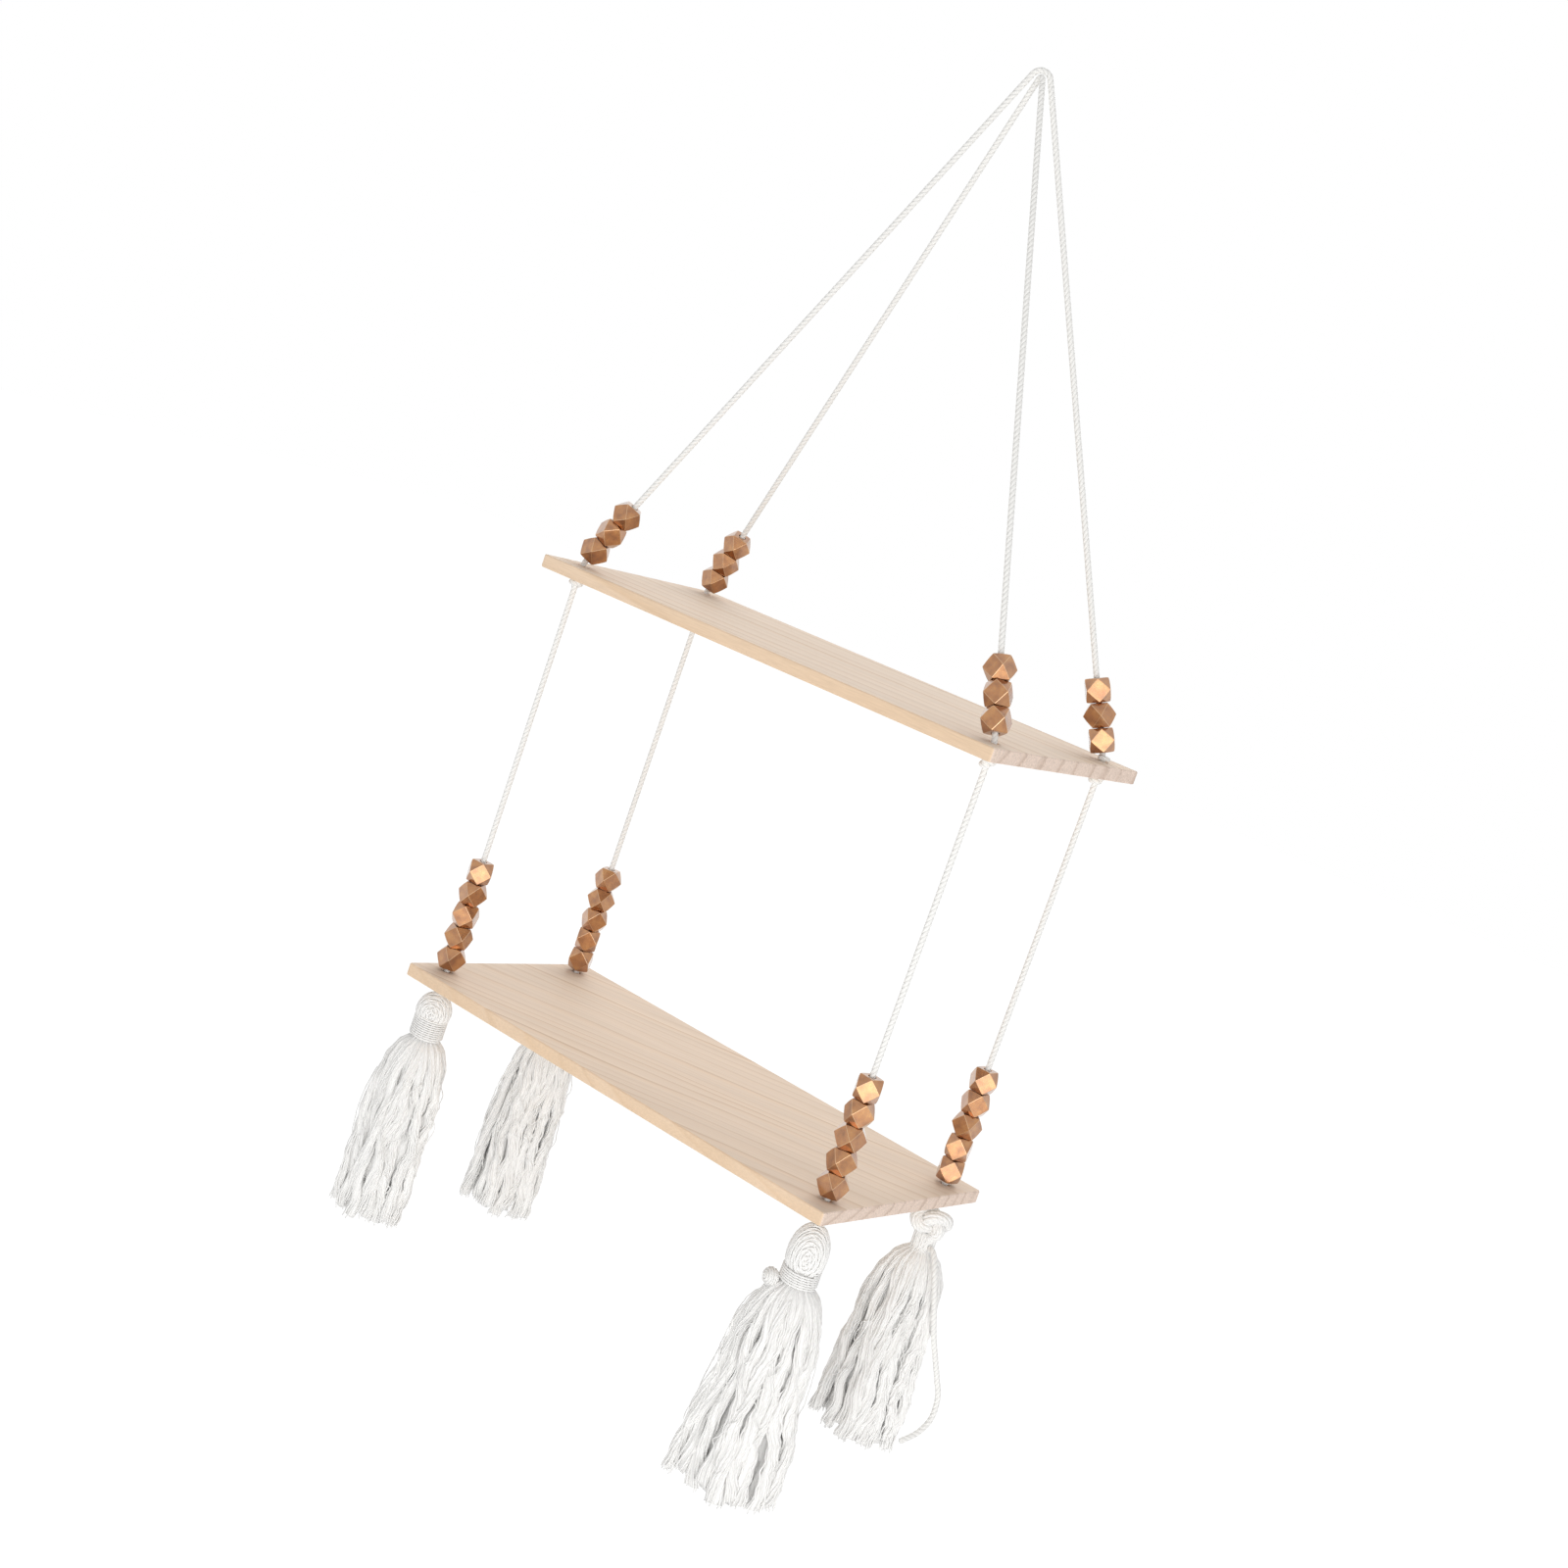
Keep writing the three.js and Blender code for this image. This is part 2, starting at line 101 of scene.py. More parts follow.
# Tassel sizes: whole length, head width and height, neck width over its binding and the binding's
# turns, skirt width halfway and at its end
TASSEL_SIZES = ("length", "head", "head_height", "neck", "turns", "middle", "end")
TASSELS = {
    "lf": dict(zip(TASSEL_SIZES, (0.162, 0.024, 0.015, 0.023, 5, 0.054, 0.054))),
    "lb": dict(zip(TASSEL_SIZES, (0.168, 0.024, 0.015, 0.023, 5, 0.054, 0.058))),
    "rf": dict(zip(TASSEL_SIZES, (0.172, 0.025, 0.027, 0.024, 3, 0.060, 0.076))),
    "rb": dict(zip(TASSEL_SIZES, (0.158, 0.030, 0.022, 0.016, 0, 0.056, 0.064))),
}
BINDING_YARN = 0.0024
BINDING_PITCH = 0.0029
KNOTTED_NECK = 0.008                # height of the neck under the knotted head
HEAD_OVERLAP = 0.004                # how far a neck reaches up into its head
HEAD_FACING = -0.97                 # azimuth in radians that the heads' poles look along
STRAND_WINDING = 0.17               # length in which a strand goes once round its lock
STRAND_SIDES = 5
YARN_PLIES = 2
LOCK_THICKNESS = 0.0034
INNER_RING = 0.75                   # radius of the inner ring of locks, over the outer one's
HEM_LOBES = 0.009                   # how much shorter the locks between two lobes of the hem are


def linear(code):
    """The linear colour of an sRGB hex code: each channel is undone by the standard curve."""
    channels = np.array([int(code[i:i + 2], 16) for i in (1, 3, 5)]) / 255
    low, high = channels / 12.92, ((channels + 0.055) / 1.055) ** 2.4
    return tuple(float(c) for c in np.where(channels <= 0.04045, low, high))


def unit(vectors):
    """Each vector divided by its own length."""
    return vectors / np.linalg.norm(vectors, axis=-1, keepdims=True)


def smooth(share):
    """An even start and stop: three times the share squared less twice its cube, held to 0 and 1."""
    held = np.clip(share, 0, 1)
    return held * held * (3 - 2 * held)


def circle(sides):
    """Angles of even places round a circle."""
    return 2 * np.pi * np.arange(sides) / sides


# Meshes

def skin(centres, across, radii, lay_phase, angle=None, turns=1):
    """Corners, faces and UVs of closed tubes, from arrays of tubes by rows, with flat ends.

    A surface point is its row's centre plus its radius times the cosine of its angle along
    the across vector plus the sine along the second one, which is the tangent crossed with it.
    The UV map holds the angle in turns, times a number of turns, and the lay phase in turns.
    """
    count, rows, sides = radii.shape
    tangents = unit(np.gradient(centres, axis=1))
    first = unit(across - (across * tangents).sum(-1, keepdims=True) * tangents)
    second = np.cross(tangents, first)
    angle = circle(sides) if angle is None else angle
    ring = first[:, :, None] * np.cos(angle)[:, None] + second[:, :, None] * np.sin(angle)[:, None]
    wall = centres[:, :, None] + radii[..., None] * ring
    vertices = np.concatenate([wall.reshape(-1, 3), centres[:, 0], centres[:, -1]])
    tube, row, side = np.meshgrid(
        np.arange(count), np.arange(rows - 1), np.arange(sides), indexing="ij")
    following = (side + 1) % sides
    this, next_one = (tube * rows + row) * sides, (tube * rows + row + 1) * sides
    quads = np.stack([this + side, this + following, next_one + following, next_one + side], -1)
    tube, side = np.meshgrid(np.arange(count), np.arange(sides), indexing="ij")
    following = (side + 1) % sides
    top, bottom = tube * rows * sides, (tube * rows + rows - 1) * sides
    points = count * rows * sides
    caps = np.concatenate([
        np.stack([top + following, top + side, points + tube], -1).reshape(-1, 3),
        np.stack([bottom + side, bottom + following, points + count + tube], -1).reshape(-1, 3),
    ])
    near = np.broadcast_to(turns * np.arange(sides) / sides, (count, rows - 1, sides))
    far = near + turns / sides
    above = np.broadcast_to(lay_phase[:, :-1, None], near.shape)
    below = np.broadcast_to(lay_phase[:, 1:, None], near.shape)
    uv = np.stack([near, above, far, above, far, below, near, below], -1).reshape(-1)
    return vertices, quads.reshape(-1, 4), caps, uv, np.zeros(len(caps) * 6)


def tube_skin(centres, across, radii, phase=0.0, angle=None, turns=1):
    """The skin of one tube, whose across vector and phase may be the same all along it."""
    across = np.broadcast_to(across, centres.shape)
    phase = np.broadcast_to(phase, len(centres))
    return skin(centres[None], across[None], radii[None], phase[None], angle, turns)


def joined(name, skins, place=np.zeros(3)):
    """One object from several skins, moved to a place."""
    vertices, quads, caps, wall_uv, cap_uv = zip(*skins)
    starts = np.cumsum([0] + [len(part) for part in vertices[:-1]])
    quads = np.concatenate([faces + start for faces, start in zip(quads, starts)])
    caps = np.concatenate([faces + start for faces, start in zip(caps, starts)])
    uv = np.concatenate(wall_uv + cap_uv)
    return mesh_object(name, np.concatenate(vertices) + place, quads, caps, uv)


def mesh_object(name, vertices, quads, triangles, uv=None):
    """A smooth-shaded object from arrays of corners, four-sided and three-sided faces and UVs."""
    mesh = bpy.data.meshes.new(name)
    mesh.vertices.add(len(vertices))
    mesh.vertices.foreach_set("co", np.asarray(vertices, np.float32).ravel())
    loops = np.concatenate([quads.ravel(), triangles.ravel()]).astype(np.int32)
    starts = 4 * np.arange(len(quads)), 4 * len(quads) + 3 * np.arange(len(triangles))
    starts = np.concatenate(starts)
    mesh.loops.add(len(loops))
    mesh.loops.foreach_set("vertex_index", loops)
    mesh.polygons.add(len(starts))
    mesh.polygons.foreach_set("loop_start", starts.astype(np.int32))
    mesh.polygons.foreach_set("use_smooth", np.ones(len(starts), bool))
    if uv is not None:
        mesh.uv_layers.new(name="lay").data.foreach_set("uv", uv.astype(np.float32))
    mesh.update(calc_edges=True)
    mesh.validate()
    piece = bpy.data.objects.new(name, mesh)
    bpy.context.scene.collection.objects.link(piece)
    return piece


def dress(piece, material, slot, body, *nodes):
    """Gives the piece its material and body, and hides the solids it stands for. The slot is not used.
    """
    piece.data.materials.append(material)
    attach(piece, body)
    if nodes:
        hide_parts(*nodes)


def travelled(centres):
    """Distance along each row of points from its first one."""
    steps = np.linalg.norm(np.diff(centres, axis=-2), axis=-1)
    return np.concatenate([np.zeros(steps.shape[:-1] + (1,)), np.cumsum(steps, -1)], -1)


def evenly(points, step):
    """The polyline's points again, about a step apart along it."""
    distance = travelled(points)
    count = int(round(distance[-1] / step)) + 1
    wanted = np.linspace(0, distance[-1], count)
    return np.stack([np.interp(wanted, distance, points[:, i]) for i in range(3)], -1)


def through(points, step):
    """A smooth path through the points: centripetal Catmull-Rom spans, then even steps.

    In three rounds each two neighbouring points or curves give one, which goes from the first to
    the second between two of the span's four times.
    """
    p = np.asarray(points, float)
    p = np.concatenate([[2 * p[0] - p[1]], p, [2 * p[-1] - p[-2]]])
    times = np.concatenate([[0], np.cumsum(np.sqrt(np.linalg.norm(np.diff(p, axis=0), axis=1)))])
    spans = []
    for i in range(1, len(p) - 2):
        t = np.linspace(times[i], times[i + 1], 24)[:, None]
        four, curves = times[i - 1:i + 3], p[i - 1:i + 3]
        for ends in (((0, 1), (1, 2), (2, 3)), ((0, 2), (1, 3)), ((1, 2),)):
            shares = [(t - four[a]) / (four[b] - four[a]) for a, b in ends]
            curves = [(1 - share) * one + share * other
                      for share, one, other in zip(shares, curves, curves[1:])]
        spans.append(curves[0])
    return evenly(np.concatenate(spans), step)


def corner_point(tag, height=UPPER_BOARD_TOP):
    """The point at a height on the line through a corner's holes, from its lower leg's box."""
    low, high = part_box("lower_leg_" + tag)
    return np.array([(low.x + high.x) / 2, (low.y + high.y) / 2, height])


# Twisted cord

def laid_skin(centres, across, phase, thickness, sides, strands, relief):
    """Skin of a twisted cord: its strands' bulges are the square root of the size of a cosine.

    The cosine has half as many turns round the cord as it has strands, and it winds with the
    lay phase, so each groove between strands runs round the cord once in a lay.
    """
    bulge = np.sqrt(np.abs(np.cos(strands / 2 * (circle(sides) - 2 * np.pi * phase[:, None]))))
    return tube_skin(centres, across, thickness / 2 * (1 - relief + relief * bulge), phase)


def cord_mesh(name, centres, across, phase):
    """A twisted cord along one row of centres."""
    settings = bpy.context.scene.shelf_cords
    return joined(name, [
        laid_skin(centres, across, phase, settings.diameter, 24, CORD_STRANDS, settings.relief)])


def lay_cord(name, route, across, cord, body, node):
    """A cord whose lay starts where its route does, on one body and in place of one solid."""
    phase = travelled(route) / bpy.context.scene.shelf_cords.lay
    piece = cord_mesh(name, route, across, phase)
    dress(piece, cord, "white_cord", body, node)
    return piece


def bend_end(foot, bend_radius):
    """Where a bend ends on the tangent from its leg's foot: the way out and the angle from its top."""
    reach = math.hypot(foot[0], foot[1])
    angle = math.pi - math.atan2(reach, -foot[2]) - math.acos(bend_radius / np.linalg.norm(foot))
    return np.array([foot[0] / reach, foot[1] / reach, 0]), angle


def bend_points(outward, angle, bend_radius):
    """Points of a bend: its radius times the sine of the angle outward and the cosine up."""
    return bend_radius * (outward * np.sin(angle) + UP * np.cos(angle))


def leg_direction(foot, bend_radius):
    """Unit vector up a leg, from its foot to its bend."""
    return unit(bend_points(*bend_end(foot, bend_radius), bend_radius) - foot)


def cord_route(last, bend_radius):
    """One whole upper cord from knot to knot, in the upright plane of its two holes.

    From the last hole it goes up on a quadratic curve, straight up the leg and round the bend as
    an arc about the origin. The other half is a mirror image.
    """
    foot = corner_point(last)
    outward, bend_angle = bend_end(foot, bend_radius)
    arc = bend_points(outward, np.linspace(0, bend_angle, 60)[:, None], bend_radius)
    start = foot - ELBOW * unit(foot - arc[-1])
    inside = corner_point(last, UPPER_KNOT_TOP - 0.001)
    share = np.linspace(0, 1, 24)[:, None]
    elbow = (1 - share) ** 2 * start + 2 * share * (1 - share) * foot + share ** 2 * inside
    half = evenly(np.concatenate([arc, elbow]), CORD_STEP)
    mirrored = half[::-1] * np.array([-1, -1, 1])
    return np.concatenate([mirrored[:-1], half]), np.cross(UP, outward)


def cord_piece(name, route, across, phase, rows, cord, bodies, *nodes):
    """A stretch of cord that rides on one body, or that runs from one body to the next and is attached
    to neither.
    """
    piece = cord_mesh(name, route[rows], across, phase[rows])
    if len(bodies) == 1:
        dress(piece, cord, "white_cord", bodies[0], *nodes)
        return
    piece.data.materials.append(cord)
    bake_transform(piece)
    if nodes:
        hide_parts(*nodes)


def add_upper_cords(cord):
    """Two cords, each in stretches that end on balls about the hanging point.

    The legs run from their outer bend's body to the shelf's and are attached to neither. Between the
    inner bend and its legs a short stretch runs from the hanging point's body to the outer bend's,
    also attached to neither.
    """
    settings = bpy.context.scene.shelf_cords
    limits = [radius + settings.diameter / 2 for radius in (INNER_BEND_RADIUS, OUTER_BEND_RADIUS)]
    legs, necks = ("outer_bend", "upper_shelf"), ("hanging_bend", "outer_bend")
    for name, first, last, radius, bend_body, ends in (
        ("outer", "lf", "rb", OUTER_BEND_RADIUS, "outer_bend", limits[1:]),
        ("inner", "lb", "rf", INNER_BEND_RADIUS, "hanging_bend", limits),
    ):
        route, across = cord_route(last, radius)
        phase = travelled(route) / settings.lay
        reach = np.linalg.norm(route, axis=1)
        inside = [np.flatnonzero(reach < limit) for limit in ends]
        bend = slice(inside[0][0], inside[0][-1] + 1)
        cord_piece(name + "_cord_bend", route, across, phase, bend, cord, [bend_body], name + "_bend")
        low, high = inside[-1][0], inside[-1][-1]
        for tag, rows in ((first, slice(0, low + 1)), (last, slice(high, None))):
            cord_piece("upper_cord_" + tag, route, across, phase, rows, cord, legs, "upper_leg_" + tag)
        if name == "inner":
            stretches = (slice(low, bend.start + 1), slice(bend.stop - 1, high + 1))
            for tag, rows in zip((first, last), stretches):
                cord_piece("inner_cord_neck_" + tag, route, across, phase, rows, cord, necks)


def add_lower_cords(cord):
    """Four straight cords, from inside the upper knots to inside the lower board's holes."""
    into_knot, into_hole = 0.0015, 0.002
    for tag in TAGS:
        top = corner_point(tag, UPPER_KNOT_TOP - KNOT_HEIGHT + into_knot)
        bottom = corner_point(tag, LOWER_BOARD_TOP - into_hole)
        route = evenly(np.stack([top, bottom]), CORD_STEP)
        leg = "lower_leg_" + tag
        lay_cord("lower_cord_" + tag, route, np.array([1.0, 0, 0]), cord, leg, leg)


def knot_route(turn, height, diameter):
    """A tight wrap: out from the axis, a turn and a half round it while it sinks, and back in."""
    turns, reach, tilt = 1.55, 0.0031, 0.0008
    share = np.linspace(0, 1, 90)
    angle = 2 * np.pi * (turns * share + turn)
    out = reach * np.sqrt(np.sin(np.pi * np.clip(share, 0.001, 0.999)))
    depth = -diameter / 2 - (height - diameter) * smooth(share)
    return np.stack([out * np.cos(angle), out * np.sin(angle), depth + tilt * np.cos(angle)], -1)


def add_knots(cord):
    """A knot under each hole of both boards, with its cord through the lower board's hole."""
    diameter = bpy.context.scene.shelf_cords.diameter
    turned_on = 0.23                # turns from one corner's knot to the next one's
    for level, top, height in (
        ("upper", UPPER_KNOT_TOP, KNOT_HEIGHT + 0.001), ("lower", LOWER_KNOT_TOP, KNOT_HEIGHT),
    ):
        for number, tag in enumerate(TAGS):
            wrap = knot_route(turned_on * number, height, diameter)
            route = evenly(wrap + corner_point(tag, top), KNOT_STEP)
            if level == "lower":
                hole = corner_point(tag, LOWER_BOARD_TOP)
                route = evenly(np.concatenate([[hole], route]), KNOT_STEP)
            lay_cord(f"{level}_knot_{tag}", route, np.array([0.0, 0.2, 1.0]), cord,
                     level + "_shelf", f"{level}_stop_knot_{tag}")


def add_rest_coils(cord):
    """Where the right back cord bulges out of its holes, a coil of it lies round the cord.

    The coil's middle is a helix of one turn and a third about the cord, laid close to it.
    """
    settings = bpy.context.scene.shelf_cords
    share = np.linspace(0, 1, 60)
    turns, first_turn = 1.33, 0.6
    angle = 2 * np.pi * (turns * share + first_turn)
    for level, board, body, thick, rise in (
        ("upper", UPPER_BOARD_TOP, "upper_shelf", 0.0022, 0.0013),
        ("lower", LOWER_BOARD_TOP, "lower_leg_rb", 0.0013, 0.0002),
    ):
        out = (settings.diameter + thick) / 2
        foot = corner_point("rb", board + thick / 2 + CLEARANCE)
        route = foot + np.stack([out * np.cos(angle), out * np.sin(angle), rise * share], -1)
        phase = travelled(route) / settings.lay
        coil = laid_skin(route, UP, phase, thick, 16, CORD_STRANDS, settings.relief)
        dress(joined(f"{level}_rest_coil_rb", [coil]), cord, "white_cord", body)


def add_loose_end(cord):
    """The free tail of the cord, which leaves the right back tassel and hangs beside its skirt."""
    route = through(np.array(LOOSE_END_ROUTE) + corner_point("rb", TASSEL_PIVOT), step=0.0008)
    piece = lay_cord(
        "loose_cord_tail", route, np.array([0.0, 1.0, 0]), cord, "tassel_rb", "loose_cord_end")


# Beads

def bead_profiles():
    """Corners, normals and edge marks of a bead: a cuboctahedron bored through two square faces.

    The surface is a profile carried round the axis. At an angle a from the nearest diamond's
    middle, up to an eighth of a turn, the section's corners lie at the bore's rim, at the square
    face's edge h / (cos a + sin a) out, and at the diamond's edge, h / cos a out and h (1 - tan a)
    up, and the same below. Each corner is set in by the edge's round and pushed out again along
    normals that turn from one face to the next, and far corners are drawn in as if worn. The edge
    mark, where a painted highlight also stands for paint worn pale, is 1 along the middle of each
    round and 0 on the faces.
    """
    settings = bpy.context.scene.shelf_beads
    rounding = settings.edge_round
    h = BEAD_HEIGHT / 2 - rounding
    bore = settings.bore / 2
    steps = 3
    eighth = np.radians(45) * np.arange(steps + 1) / steps
    away = np.concatenate([eighth, eighth[::-1]])
    quarter = np.concatenate([eighth, np.radians(45) + eighth])
    beyond = np.repeat([0, 1], steps + 1)
    a = np.tile(away, 4)
    azimuth = np.concatenate([quarter + k * np.pi / 2 for k in range(4)])
    diamond = np.concatenate([(beyond + k) * np.pi / 2 for k in range(4)])
    corner = np.repeat(np.arange(4) * np.pi / 2 + np.pi / 4, 2 * steps + 2)
    flat = np.zeros_like(a)
    top = np.stack([flat, flat, flat + 1], -1)
    leaning = np.stack([np.cos(corner), np.sin(corner), flat + math.sqrt(0.5)], -1) * math.sqrt(2 / 3)
    level = np.stack([np.cos(diamond), np.sin(diamond), flat], -1)
    outward = np.stack([np.cos(azimuth), np.sin(azimuth), flat], -1)
    square_edge = (h / (np.cos(a) + np.sin(a)))[:, None] * outward + h * UP
    diamond_edge = (h / np.cos(a))[:, None] * outward + (h * (1 - np.tan(a)))[:, None] * UP
    rows = [(bore * outward + (h + 0.4 * rounding) * UP, -outward, 0, 0),
            ((bore + rounding) * outward + h * UP, top, rounding, 0)]
    for edge, one, other in ((square_edge, top, leaning), (diamond_edge, leaning, level)):
        rows += [(edge, unit(one * (1 - w) + other * w), rounding, w == 0.5) for w in (0, 0.5, 1)]
    mirror = np.array([1, 1, -1])
    rows += [(place * mirror, normal * mirror, out, mark) for place, normal, out, mark in rows[::-1]]
    normals = np.stack([normal for _, normal, _, _ in rows])
    places = np.stack([place + out * normal for place, normal, out, _ in rows])
    # The edge mark is 1 along the middle of each edge round, where a pale colour is painted as a
    # highlight and as paint worn pale
    highlight_and_wear = np.repeat([float(mark) for *_, mark in rows], len(a))
    reach = np.linalg.norm(places, axis=-1, keepdims=True)
    worn = BEAD_HEIGHT / 2 * math.sqrt(2) - settings.corner_wear
    drawn_in = np.where(reach > worn, (worn + (reach - worn) * CORNER_LEFT) / reach, 1)
    return places * drawn_in, normals, highlight_and_wear


def turned_to(direction, turn):
    """Rotation by the turn about Z, then by the shortest way from Z to the direction."""
    x, y, z = direction
    lean = np.array([[1 - x * x / (1 + z), -x * y / (1 + z), x],
                     [-x * y / (1 + z), 1 - y * y / (1 + z), y],
                     [-x, -y, z]])
    c, s = math.cos(turn), math.sin(turn)
    return lean @ np.array([[c, -s, 0], [s, c, 0], [0, 0, 1]])


def closed_grid(name, grid, normals, highlight_and_wear):
    """A mesh from a grid that closes on itself both ways, without its doubled corners."""
    rows, sides = grid.shape[:2]
    row, side = np.meshgrid(np.arange(rows), np.arange(sides), indexing="ij")
    below, beside = (row + 1) % rows, (side + 1) % sides
    quads = np.stack([row * sides + side, below * sides + side,
                      below * sides + beside, row * sides + beside], -1)
    piece = mesh_object(name, grid.reshape(-1, 3), quads.reshape(-1, 4), np.zeros((0, 3), int))
    # The edge mark carries a painted highlight along the edges, which also stands for paint worn pale
    # there
    for key, kind, field, values in (
        ("facing", "FLOAT_VECTOR", "vector", normals), ("edge_highlight_and_wear", "FLOAT", "value", highlight_and_wear),
    ):
        attribute = piece.data.attributes.new(key, kind, "POINT")
        attribute.data.foreach_set(field, values.astype(np.float32).ravel())
    shape = bmesh.new()
    shape.from_mesh(piece.data)
    bmesh.ops.remove_doubles(shape, verts=shape.verts, dist=1e-6)
    bmesh.ops.dissolve_degenerate(shape, edges=shape.edges, dist=1e-6)
    shape.to_mesh(piece.data)
    shape.free()
    facing = np.empty(len(piece.data.vertices) * 3, np.float32)
    piece.data.attributes["facing"].data.foreach_get("vector", facing)
    piece.data.attributes.remove(piece.data.attributes["facing"])
    piece.data.normals_split_custom_set_from_vertices(facing.reshape(-1, 3).tolist())
    return piece


def add_beads(copper):
    """Every bead, on its cord and turned as its solid is."""
    surface, normals, highlight_and_wear = bead_profiles()
    for tag in TAGS:
        bend = OUTER_BEND_RADIUS if tag in ("lf", "rb") else INNER_BEND_RADIUS
        directions = {"upper": leg_direction(corner_point(tag), bend), "lower": UP}
        for level, direction in directions.items():
            for number, turn in enumerate(BEAD_TURNS[level][tag], 1):
                node = f"{level}_bead_{tag}_{number}"
                low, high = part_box(node)
                centre = (np.array(low) + np.array(high)) / 2
                turning = turned_to(direction, math.radians(turn))
                name = f"{level}_faceted_bead_{tag}_{number}"
                piece = closed_grid(name, surface @ turning.T + centre, normals @ turning.T, highlight_and_wear)
                dress(piece, copper, "copper_bead", node, node)


# Tassels

def tassel_outline(size):
    """Depths and radii of a tassel's neck and flared skirt, and the depth at which the skirt starts.

    The skirt widens in two stages, in shares of its height and of each stage's widening.
    """
    if size["turns"]:
        neck_height = size["turns"] * BINDING_PITCH + BINDING_YARN + 2 * CLEARANCE
        neck = size["neck"] / 2 - BINDING_YARN - CLEARANCE
    else:
        neck_height, neck = KNOTTED_NECK, size["neck"] / 2
    head_height = size["head_height"]
    skirt = head_height + neck_height
    height = size["length"] - skirt
    middle, end = size["middle"] / 2, size["end"] / 2
    outline = [(head_height - HEAD_OVERLAP, neck), (head_height, neck), (skirt, neck)]
    outline += [(skirt + height * down, neck + (middle - neck) * out)
                for down, out in ((0.05, 0.42), (0.14, 0.74), (0.28, 0.94), (0.42, 1))]
    outline += [(skirt + height * down, middle + (end - middle) * out)
                for down, out in ((0.58, 0.3), (0.75, 0.7), (0.9, 1), (1, 1))]
    return *np.array(outline).T, skirt


def folds(size, angle, depth, skirt):
    """Share of the radius left by the skirt's narrow and broad folds, which start at the neck."""
    strength, growing = 0.07, 0.04
    wave = np.cos(5 * angle) + 0.6 * np.cos(3 * angle + depth / size["length"])
    return 1 + smooth((depth - skirt) / growing) * strength * (wave - 1)


def chance_waves(chance, count, *kinds):
    """Waves of each kind, which is an amplitude and a range of lengths, as lengths and starts."""
    return [(amplitude, chance.uniform(shortest, longest, (count, 1)), chance.random((count, 1)))
            for amplitude, shortest, longest in kinds]


def swing(waves, s, rows=slice(None)):
    """The sum of the waves at the lengths s: an amplitude times the sine of its phase."""
    return sum(amplitude * np.sin(2 * np.pi * (s / length[rows] + start[rows]))
               for amplitude, length, start in waves)


